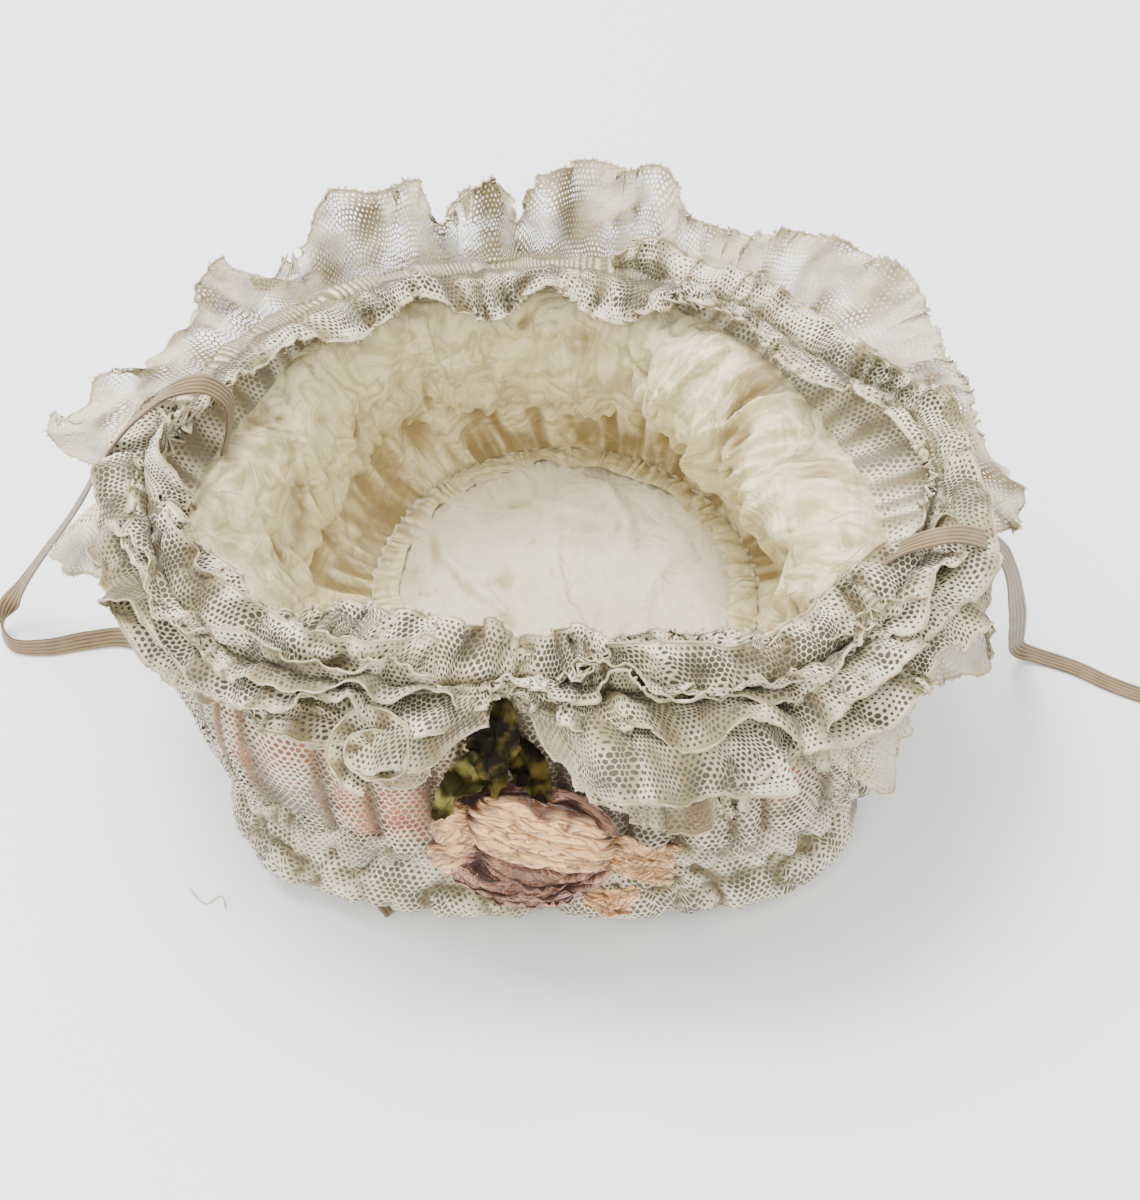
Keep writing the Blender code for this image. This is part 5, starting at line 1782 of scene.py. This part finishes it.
@dataclass
class HeadRoll:
    """Silk head band, padded and crumpled on the right, that ends on the lining."""

    rows: int = 1000
    columns: int = 54
    pleats: int = 74

    def build(self) -> None:
        """Builds the band."""
        a = circle(self.rows)
        low, top = FORM.shoulder(a), FORM.opening(a, -0.6 * MM)
        run = unit(top - low)
        out = outward(a)
        inward = -(out * run[:, 2:] - UP * np.sum(run * out, axis=-1, keepdims=True))
        full = (FORM.fullness * ring_value(SIDE_TABLE, "fullness", a))[:, None]
        high = FORM.band_height
        edge = FORM.tip(a) + out * 0.9 * MM
        foot = edge + (low - edge) * 0.70 + out * 1.2 * MM - UP * 1.5 * MM
        stations = [top + UP * 1.1 * MM + out * 1.8 * MM,
                    top + UP * 0.9 * MM,
                    top + inward * (full * 0.62 + 1.0 * MM) - run * high * 0.10,
                    top + inward * (full * 1.02 + 1.4 * MM) - run * high * 0.40,
                    top + inward * (full * 1.02 + 1.4 * MM) - run * high * 0.72,
                    low + inward * (full * 0.60 + 1.0 * MM) - UP * 1.0 * MM,
                    foot + inward * 0.4 * MM,
                    foot - UP * 2.5 * MM + out * 1.5 * MM]
        cloth = Cloth(through(stations, self.columns), True)
        a, s = a[:, None], np.linspace(0, 1, self.columns)[None, :]
        soft = np.clip(full / FORM.fullness, 0, 1)
        wrap = ease(a, 350, 360)
        big = self.crumple(a, s) * (1 - wrap) + self.crumple(a - 360, s) * wrap
        fine = fractal(cloth.points / (5 * MM), 3, 12)
        sharp = puffs(cloth.points / (12 * MM) + 0.3 * fine[..., None], 2, 14)
        phase = np.radians(a) * self.pleats + 8 * fractal(band(a, 10, 4), 2, 13) + 3.0 * s
        pleat = np.sin(phase) * (1 - soft) * (0.25 + 0.35 * ease(s, 0.5, 0.9))
        held = ease(s, 0.10, 0.24) * (1 - ease(s, 0.86, 0.99))
        puffed = soft * (6.0 * big - 2.0) + (1 - soft) * (1.8 * big - 0.6)
        amount = (puffed + pleat + 0.35 * fine + 1.0 * sharp) * held
        cloth.push(amount * MM * self.facing(cloth, inward))
        # Painted shade in the roll's hollows, lighter on its puffs.
        cloth.fold = np.clip(0.10 + 1.1 * big + 0.35 * sharp + 0.45 * pleat + 0.20 * fine, 0, 1)
        cloth.build("head_silk", CREAM_SILK, "head_roll")

    def facing(self, cloth: Cloth, inward: Array) -> float:
        """1 where the cloth's normals look inward, and -1 where they look outward."""
        return float(np.sign(np.mean(np.sum(cloth.normals() * inward[:, None], axis=-1))))

    def crumple(self, a: Array, s: Array) -> Array:
        """Puffs that run on a slant down the roll.

        Args:
            a: Angles.
            s: Share down the cloth.

        Returns:
            Relief from 0 to about 1.
        """
        place = stacked(a / 14 + 1.6 * s, s * 2.2 - a / 45, 2.0)
        ridge = stacked(a / 8 - 2.4 * s, s * 1.4 + a / 60, 7.0)
        folded = puffs(ridge + 0.3 * noise(ridge * 1.7, 17)[..., None], 2, 18)
        return puffs(place + 0.25 * noise(place * 2, 15)[..., None], 2, 11) + 0.30 - 0.60 * folded


@dataclass
class Brim:
    """Pleated net facing and the ribbed casing on the rim."""

    rows: int = 1000
    columns: int = 10
    pleats: int = 66
    rib_rows: int = 2000
    ribs: int = 330

    def build(self) -> None:
        """Builds both."""
        self.make_facing()
        self.make_casing()

    def make_facing(self) -> None:
        """Net facing from the silk to the rim, in pleats."""
        a = circle(self.rows)
        inner, rim = FORM.opening(a, 0.6 * MM, 0.5 * MM), FORM.rim(a)
        middle = (inner + rim) / 2 - UP * 0.6 * MM
        cloth = Cloth(through([inner, middle, rim], self.columns), True)
        a = a[:, None]
        s = np.linspace(0, 1, self.columns)[None, :]
        phase = np.radians(a) * self.pleats + 9 * fractal(band(a, 13, 3), 2, 3) + 2 * s
        rough = fractal(cloth.points / (6 * MM), 2, 5)
        cloth.push((0.55 * np.sin(phase) + 0.5 * rough) * MM, marks=True)
        cloth.build("facing_net", FACING_NET, "brim_facing")

    def make_casing(self) -> None:
        """Gathered casing with fine ribs across it."""
        a = circle(self.rib_rows)[:, None]
        turn = np.linspace(0, 2 * np.pi, self.columns)[None, :]
        wide = FORM.casing_width / 2 * (1 + 0.16 * noise(band(a, 6), 2))
        cloth = Cloth(oval(FORM.casing(a), a, turn, wide, FORM.casing_depth / 2), True)
        phase = np.radians(a) * self.ribs + 26 * fractal(band(a, 9, 6), 2, 6) + 0.8 * turn
        cloth.push(-(0.34 * np.sin(phase) + 0.9 * noise(band(a, 4), 7)) * MM)
        # Painted shade in the slits between the ribs.
        cloth.fold = np.clip(0.45 + 0.6 * np.sin(phase), 0, 1)
        cloth.build("casing_ribs", CASING_NET, "rim_casing")


@dataclass
class LaceCurl:
    """Flat spiral of lace that lies on the ruffle left of the rose."""

    radius: float = 8 * MM
    strip: float = 4.5 * MM
    turns: float = 1.75
    degrees: float = 246.0
    rows: int = 220
    columns: int = 9

    def build(self) -> None:
        """Builds the spiral and its corded edge."""
        angle = np.array([self.degrees])
        shares = np.array([0.34, 0.68])
        low, high = FORM.frill(RUFFLE_TABLE, RUFFLE_WIDTH, Seat.OUTER, True, angle, shares)[0]
        seat = low + (high - low) * 0.6
        facing = unit(outward(self.degrees + 8) * 0.75 + UP * 0.66)
        side = unit(np.cross(UP, facing))
        rise = np.cross(facing, side)
        middle = seat + facing * (self.strip * 0.5 + 3.9 * MM)
        share = np.linspace(0, 1, self.rows)
        turn = 2 * np.pi * self.turns * share
        wander = stacked(share * 7.0, 0.0, 3.0)
        radius = self.radius * (0.30 + 0.66 * share ** 1.3) * (1 + 0.22 * noise(wander, 91))
        spoke = side * np.cos(turn)[:, None] + rise * np.sin(turn)[:, None]
        line = middle + spoke * radius[:, None] + facing * (1.1 * MM * noise(wander * 1.3, 92))[:, None]
        across = np.linspace(-0.5, 0.5, self.columns)
        tilt = unit(spoke * 0.9 + facing * (0.5 + 0.55 * noise(wander, 93))[:, None])
        points = line[:, None] + tilt[:, None] * (across * self.strip)[None, :, None]
        cloth = Cloth(points, False)
        phase = np.linspace(0, 60, self.rows)[:, None]
        cloth.push(0.35 * MM * np.sin(phase) * np.ones((1, self.columns)), marks=True)
        cloth.push(0.9 * MM * fractal(cloth.points / (3 * MM), 2, 94))
        thing = cloth.build("curl_lace", HEAP_NET, "lace_curl")
        rim = tube(cloth.points[:, -1], 0.28 * MM, 6)
        edge = make_piece("curl_lace_edge", *rim, CREAM_THREAD.material("curl_lace_edge"), "lace_curl")


class PetalRow(NamedTuple):
    """Petal in millimetres from the rose's back, its tilt in degrees, and a seed for its creases."""

    name: str
    slot: str
    x: float
    y: float
    z: float
    width: float
    height: float
    dome: float
    tilt: float
    seed: int
    stands: bool


class RoseFoldRow(NamedTuple):
    """Ribbon fold in millimetres: its middle, its width, how far it stands out and how far it sags."""

    owner: str
    x: float
    y: float
    z: float
    width: float
    stand: float
    sag: float


class RibbonRow(NamedTuple):
    """Ribbon end in millimetres: its start, its run and its width."""

    name: str
    start: tuple[float, float, float]
    run: tuple[float, float, float]
    width: float
    stands: bool


@dataclass
class Rose:
    """Crumpled silk rose: broad top petal, tight folds, small petals and ribbon ends."""

    middle_z: float = 36 * MM
    lean: float = 14.0
    degrees: float = 266.0
    scale: float = 1.05
    nudge: tuple[float, float] = (2.0, 2.9)
    petals: tuple[PetalRow, ...] = (
        PetalRow("petal_top", "rose_petal_top", 2.0, 8.3, 6.4, 29, 14.5, 5.2, -15, 31, True),
        PetalRow("petal_left_upper", "rose_petal_top", -14.5, 6.5, 4.0, 10, 10, 3.0, 35, 32, False),
        PetalRow("petal_left_lower", "rose_core", -16.0, -1.0, 3.5, 8, 8, 2.6, 10, 33, False),
    )
    folds: tuple[RoseFoldRow, ...] = (
        RoseFoldRow("rose_fold_upper", 0.5, -2.6, 7.6, 34, 2.4, 2.0),
        RoseFoldRow("rose_fold_middle", -1.0, -6.4, 7.0, 33, 2.3, 2.0),
        RoseFoldRow("rose_fold_lower", 0.5, -10.0, 5.4, 27, 2.0, 1.6),
    )
    ribbons: tuple[RibbonRow, ...] = (
        RibbonRow("ribbon_end_upper", (15.5, 2.5, 3.0), (13.0, -4.5, 2.0), 10.0, True),
        RibbonRow("ribbon_end_lower", (12.0, -9.5, 2.6), (9.0, -3.5, 1.2), 7.0, False),
    )
    across: Array = field(init=False)
    rise: Array = field(init=False)
    face: Array = field(init=False)
    back: Array = field(init=False)

    def place(self) -> None:
        """Finds the seat on the side, and the rose's own directions."""
        lean = math.radians(self.lean)
        out = outward(self.degrees)
        self.face = out * math.cos(lean) + UP * math.sin(lean)
        self.across = np.cross(UP, out)
        self.rise = np.cross(self.face, self.across)
        middle = UP * self.middle_z
        angles = self.degrees + np.arange(-12, 13, 2.0)
        under = [FORM.side(angles, np.full(len(angles), share)) for share in (0.0, 0.15, 0.30, 0.45)]
        under.append(FORM.roll(angles) + outward(angles) * FORM.roll_width * 0.53)
        reach = max(0.0, float(((np.stack(under) - middle) @ self.face).max()))
        self.back = middle + out * ((reach + FORM.wall / 2 + FORM.gap) / math.cos(lean))

    def at(self, x: Array, y: Array, z: Array) -> Array:
        """Points from places on the rose, in millimetres.

        Args:
            x: To the right.
            y: Up.
            z: Out of the rose's back.

        Returns:
            Points.
        """
        x, y, z = np.broadcast_arrays(self.scale * x + self.nudge[0], self.scale * y + self.nudge[1], z)
        place = self.across * x[..., None] + self.rise * y[..., None] + self.face * z[..., None]
        return self.back + place * MM

    def build(self) -> None:
        """Builds the rose."""
        self.place()
        self.make_heart()
        for row in self.petals:
            self.make_petal(row)
        self.make_folds()
        self.make_ribbons()

    def facing(self, cloth: Cloth) -> float:
        """1 where the cloth's normals look out of the rose, and -1 where they look into it."""
        return np.sign(np.mean(cloth.normals() @ self.face))

    def make_heart(self) -> None:
        """Rolled ribbon in tight curved folds, one round the other."""
        turn = np.linspace(0, 2 * np.pi, 261)[:-1][:, None]
        share = np.linspace(0.02, 1.0, 90)[None, :]
        bulge = 6.6 * np.sqrt(np.clip(1 - share ** 2.6, 0, 1)) + 0.3
        points = self.at(18.6 * share * np.cos(turn), 15.2 * share * np.sin(turn), bulge)
        cloth = Cloth(points, True)
        x, y = share * np.cos(turn), share * np.sin(turn)
        drift = 0.55 * noise(stacked(x * 2.2, y * 2.2, 0.0), 42)
        ring = np.hypot(x * 0.7, y * 1.2 - 0.42) * 9.5 + drift * 2.0
        lump = np.abs(noise(stacked(x + 9, y * 0.6, ring * 1.25), 43)) * 2.2
        small = puffs(stacked(x * 5, y * 5, ring * 1.8), 2, 44)
        relief = np.clip(lump, 0, 1) * 2.6 + small * 0.6
        side = self.facing(cloth)
        cloth.push(side * (relief - 1.4) * MM * (1 - share ** 8))
        # Painted shade in the crevices between the folds.
        cloth.fold = np.clip(lump * 1.6 - 0.70 + 0.3 * small, 0, 1)
        cloth.build("rose_heart", DEEP_SATIN, "rose_core")

    def make_petal(self, row: PetalRow) -> None:
        """Builds one creased petal whose edges turn under.

        Args:
            row: Its place and form.
        """
        x, y = np.linspace(-1, 1, 130)[:, None], np.linspace(-1, 1, 84)[None, :]
        flat = stacked(x, y, 0.0)
        wander = 1 + 0.08 * noise(flat * [3, 3, 1], row.seed)
        px = x * row.width / 2 * (1 - 0.16 * y ** 2) * wander
        py = y * row.height / 2 * (1 - 0.34 * np.abs(x) ** 2.4) * wander
        turn = math.radians(row.tilt)
        rx, ry = px * math.cos(turn) - py * math.sin(turn), px * math.sin(turn) + py * math.cos(turn)
        bulge = row.dome * (1 - np.abs(x) ** 3.5) ** 0.6 * (1 - np.abs(y) ** 3.2) ** 0.5
        cloth = Cloth(self.at(row.x + rx, row.y + ry, row.z + bulge), False)
        bend = flat + 0.25 * noise(flat * [1.5, 1.5, 1], row.seed + 1)[..., None] * [0, 1, 0]
        long = puffs(bend * [row.width / 22, row.height / 4.0, 1], 2, row.seed + 2)
        fine = fractal(bend * [row.width / 9, row.height / 1.5, 1], 2, row.seed + 3)
        side = self.facing(cloth)
        cloth.push(side * (0.85 * long + 0.26 * fine - 0.3) * MM)
        # Painted shade in the creases and round the petal's edges.
        edge = np.maximum(np.abs(x) ** 6, np.abs(y) ** 5)
        cloth.fold = np.clip(0.35 + 0.8 * long + 0.4 * fine - 0.8 * edge, 0, 1)
        thing = cloth.build(row.name, ROSE_SATIN, row.slot, row.stands)

    def make_folds(self) -> None:
        """Ribbon folds that stand out across the lower half."""
        for index, (owner, x, y, z, width, stand, sag) in enumerate(self.folds):
            s, t = np.linspace(-1, 1, 180)[:, None], np.linspace(0, 1, 12)[None, :]
            flat = stacked(s * 4, 5.0 * index, t)
            wander = 0.9 * noise(flat * [1, 1, 0], 50) + 0.35 * noise(flat * [3, 1, 0], 51)
            level = y - sag * (1 - s ** 2) + wander + t * 0.9
            out = z * (1 - 0.42 * s ** 2) + stand * t * (1 - s ** 4) + 0.5 * noise(flat * [2, 1, 0.6], 52) * t
            lip = 0.7 * np.sin(22 * s + 5 * noise(flat * [1, 1, 0], 53)) * t ** 2
            cloth = Cloth(self.at(x + s * width / 2 * np.ones_like(t), level + lip, out), False)
            # Painted shade at each fold's root, lighter towards its lip.
            cloth.fold = np.clip(0.95 * t ** 2.2 + 0 * s, 0, 1)
            thing = cloth.build(owner + "_silk", DEEP_SATIN, owner)

    def make_ribbons(self) -> None:
        """Frayed ribbon ends at the right."""
        for row in self.ribbons:
            name, start, run = row.name, row.start, row.run
            s, t = np.linspace(0, 1, 70)[:, None], np.linspace(-1, 1, 40)[None, :]
            flat = stacked(s * 2, t * 2, row.width)
            ragged = 1 + 0.12 * noise(flat * [0, 5, 1], 60)
            x = start[0] + run[0] * s * ragged + 0.18 * row.width * t * (-run[1] / 9)
            y = start[1] + run[1] * s + row.width / 2 * t * (0.75 + 0.3 * s)
            y = y + 0.6 * noise(flat * [2, 0, 1], 61)
            z = start[2] + run[2] * np.sin(2.4 * s) - 2.2 * s ** 3
            cloth = Cloth(self.at(x, y, z), False)
            long = puffs(flat * [0.6, 3.0, 1], 2, 62)
            fine = fractal(flat * [1.5, 7.0, 1], 2, 63)
            side = self.facing(cloth)
            cloth.push(side * (1.7 * long + 0.3 * fine - 0.6) * MM)
            # Painted shade in the ribbon's creases.
            cloth.fold = np.clip(0.35 + 0.8 * long + 0.3 * fine, 0, 1)
            thing = cloth.build(name, ROSE_SATIN, "rose_ribbon_end", row.stands)
            roots = cloth.points[-1, ::2]
            heading = unit(roots - cloth.points[-4, ::2])
            wild = unit(heading + 0.5 * np.stack([noise(roots / (0.6 * MM), k) for k in (4, 5, 6)], -1))
            size = (1.4 + 0.9 * noise(roots / (0.9 * MM), 7)) * MM
            fray = make_piece(name + "_fray", *tufts(roots, wild, size, 0.28 * MM),
                              ROSE_SATIN.material(name + "_fray"), "rose_ribbon_end")


class LeafRow(NamedTuple):
    """Leaf's root from the rim in shares of its length, its turn and droop in degrees, and its form.

    Reach and far are where its cloth starts and ends along it; broad is its width's factor.
    """

    name: str
    degrees: float
    out: float
    height: float
    turn: float
    droop: float
    length: float
    reach: float
    far: float
    broad: float


@dataclass
class Leaves:
    """Velvet leaves tucked between the ruffle and the rose."""

    length: float = 15 * MM
    width: float = 8 * MM
    rows: tuple[LeafRow, ...] = (
        LeafRow("leaf_left", 258.3, 0.56, -0.94, -34, 26, 1.05, -0.5, 0.74, 1.1),
        LeafRow("leaf_middle", 262.0, 0.32, -0.66, 4, 24, 0.95, -0.5, 0.74, 1.1),
        LeafRow("leaf_right", 266.5, 0.50, -0.80, 36, 18, 0.85, -0.5, 0.74, 1.1),
        LeafRow("leaf_top", 262.0, 0.26, 0.14, -4, 46, 0.85, -0.2, 1.15, 1.45),
    )

    def build(self) -> None:
        """Builds each leaf."""
        for number, row in enumerate(self.rows):
            self.make_leaf(row, GREEN_VELVET if row.name == "leaf_left" else DARK_VELVET, number)

    def make_leaf(self, row: LeafRow, finish: Velvet, number: int) -> None:
        """Builds one curled leaf with a midrib.

        Args:
            row: Its place.
            finish: Its velvet.
            number: Picks its creases.
        """
        rim = FORM.rim(np.array([row.degrees]))[0]
        root = rim + outward(row.degrees) * self.length * row.out + UP * self.length * row.height
        heading = outward(row.degrees + row.turn)
        droop = math.radians(row.droop)
        run = heading * math.cos(droop) - UP * math.sin(droop)
        across = np.cross(UP, heading)
        lift = unit(np.cross(run, across))
        s, t = np.linspace(0, 1, 60)[:, None], np.linspace(-1, 1, 25)[None, :]
        taper = 0.12 + 0.88 * np.sin(np.pi * np.clip(s * 0.9 + 0.08, 0, 1)) ** 0.8
        half = self.width / 2 * row.broad * taper
        serrate = 1 + 0.025 * np.sin(60 * s) * np.abs(t)
        midrib = 0.10 * np.exp(-(t / 0.12) ** 2)
        curl = 0.28 * np.abs(t) ** 1.5 - midrib + 0.06 * np.sin(24 * s + 3 * np.abs(t))
        bend = 1.4 * MM * np.sin(2.4 * s + number)
        along = self.length * row.length * (row.reach + (row.far - row.reach) * s)
        points = root + run * along[..., None] * np.ones_like(t)[..., None]
        points = points + across * (half * t * serrate)[..., None]
        points = points + lift * (half * curl + bend * 0.5)[..., None]
        cloth = Cloth(points, False)
        rough = fractal(cloth.points / (5 * MM), 3, 70 + number)
        crease = puffs(cloth.points / (5 * MM), 2, 80 + number)
        cloth.push((0.9 * rough + 2.0 * crease - 0.6) * MM)
        # Painted shade in the creases and along the midrib.
        cloth.fold = np.clip(0.1 + 1.0 * crease + 0.2 * np.abs(t), 0, 1)
        thing = cloth.build(row.name + "_velvet", finish, row.name)


@dataclass
class StrayThreads:
    """Loose thread ends, on the floor and at the frayed places."""

    radius: float = 0.16 * MM
    steps: int = 50
    runs: tuple[tuple[tuple[float, float, float], ...], ...] = (    # points of each, in millimetres
        ((-82.0, -62.0, 0.3), (-78.0, -66.0, 0.3), (-74.5, -64.0, 0.3), (-73.0, -67.5, 0.3)),
        ((62.0, -38.0, 84.0), (68.0, -33.0, 88.0), (66.0, -28.0, 90.0), (60.0, -27.0, 86.0)),
        ((64.0, -40.0, 82.0), (72.0, -40.0, 88.0), (76.0, -35.0, 87.0), (72.0, -31.0, 84.0)),
        ((-70.0, 6.0, 80.0), (-66.0, 2.0, 84.0), (-62.0, 5.0, 82.0), (-60.0, 9.0, 78.0)),
        ((-72.0, -8.0, 76.0), (-66.0, -12.0, 78.0), (-62.0, -18.0, 74.0), (-64.0, -24.0, 72.0)),
    )

    def build(self) -> None:
        """Builds all threads as one piece."""
        share = np.linspace(0, 1, self.steps)
        paths = [run_through(np.array(run), share) * MM for run in self.runs]
        points, faces = joined([tube(path, self.radius, 5) for path in paths])
        make_piece("stray_threads", points, faces, EDGE_THREAD.material("stray_threads"), "inner_frill")


class HeapRow(NamedTuple):
    """Heaped frill: width, root and folds in millimetres, its stretch and its angles in degrees."""

    name: str
    slot: str
    width: float
    seed: int
    start: float
    end: float
    out: float
    up: float
    lean: float
    curl: float
    toss: float
    rows: int = 480
    folds: float = 2.0


HEAP_ROWS = (
    HeapRow("heap_left_inner", "inner_frill", 12, 11, 176, 268, -0.5, 2.8, 115, 55, 26),
    HeapRow("heap_left_middle", "brim_ruffle", 10, 21, 186, 265, -0.5, 3.2, 75, -70, 34),
    HeapRow("heap_left_outer", "brim_ruffle", 12, 12, 172, 262, 1.0, 2.6, 45, -80, 32),
    HeapRow("heap_left_low", "brim_ruffle", 9, 13, 184, 250, 3.5, -0.5, 5, -60, 26),
    HeapRow("heap_right_inner", "inner_frill", 11, 14, 258, 340, -0.5, 2.8, 118, 50, 26),
    HeapRow("heap_right_middle", "brim_ruffle", 10, 22, 259, 344, -0.5, 3.2, 75, -70, 34),
    HeapRow("heap_right_outer", "brim_ruffle", 13, 15, 264, 352, 1.0, 2.4, 45, -75, 30),
    HeapRow("heap_right_low", "brim_ruffle", 14, 16, 286, 350, 3.5, -1.0, 5, -55, 26),
    HeapRow("flap_right", "brim_ruffle", 22, 18, 266, 307, 2.5, 2.0, 12, -66, 9, 400, 3.4),
    HeapRow("flap_left", "brim_ruffle", 18, 19, 236, 261, 2.0, 2.0, 14, -62, 10, 320, 2.6),
    HeapRow("arc_lace", "inner_frill", 10, 17, -20, 75, -1.5, 1.0, 75, -40, 25, 540),
)


def frills() -> list[Frill]:
    """Every frill of the brim, wide ruffle first."""
    lace = {"finish": HEAP_NET, "edge": 0.30 * MM, "edge_thread": CREAM_THREAD, "columns": 14, "pleats": 50,
            "depth": 1.2 * MM, "sway": 0.3, "fold_size": 10, "crumple": 1.2 * MM, "scallop": 0.12 * MM,
            "picots": 0.5 * MM}
    flap = lace | {"pleats": 22, "fold_size": 15, "crumple": 0.5 * MM, "depth": 1.0 * MM, "columns": 21}
    listed = [
        TableFrill("ruffle_net", "brim_ruffle", RUFFLE_NET, RUFFLE_WIDTH, pleats=46, depth=1.1 * MM,
                   rows=1250, columns=19, folds=2.8 * MM, crumple=1.1 * MM, stands=True,
                   table=RUFFLE_TABLE, cuts=((188, 254, 0.34), (252, 269, 0.93)), calm=(8, 92)),
        TableFrill("inner_lace", "inner_frill", HEAP_NET, 15 * MM, pleats=58, depth=1.3 * MM, rows=1100,
                   columns=13, seed=2, folds=1.6 * MM, edge=0.34 * MM, stands=True,
                   table=FRILL_TABLE, seat=Seat.INNER),
        TableFrill("near_lace_left", "near_frill_left", width=13 * MM, rows=330, seed=3, start=196, end=252,
                   stands=True, table=NEAR_LEFT_TABLE, seat=Seat.TOP, **lace),
        TableFrill("near_lace_right", "near_frill_right", width=13 * MM, rows=330, seed=4, start=272,
                   end=330, stands=True, table=NEAR_RIGHT_TABLE, seat=Seat.TOP, **lace),
    ]
    for row in HEAP_ROWS:
        extra = {"rows": row.rows, "folds": row.folds * MM} | (flap if row.name.startswith("flap") else lace)
        listed.append(HeapFrill(row.name, row.slot, width=row.width * MM, seed=row.seed, start=row.start,
                                end=row.end, root=(row.out, row.up), lean=row.lean, curl=row.curl,
                                toss=row.toss, **extra))
    return listed


def main() -> None:
    """Builds the scene, camera and straps first."""
    logging.basicConfig(level=logging.INFO, format="%(name)s: %(message)s")
    Studio().build()
    ChinStrap("chin_strap_right", STRAP_RIGHT_ROUTE, 0.180).build()
    ChinStrap("chin_strap_left", STRAP_LEFT_ROUTE, 0.290).build()
    Crown().build()
    Side().build()
    Lining().build()
    HeadRoll().build()
    Brim().build()
    for frill in frills():
        frill.build()
    LaceCurl().build()
    Rose().build()
    Leaves().build()
    StrayThreads().build()


if __name__ == "__main__":
    main()
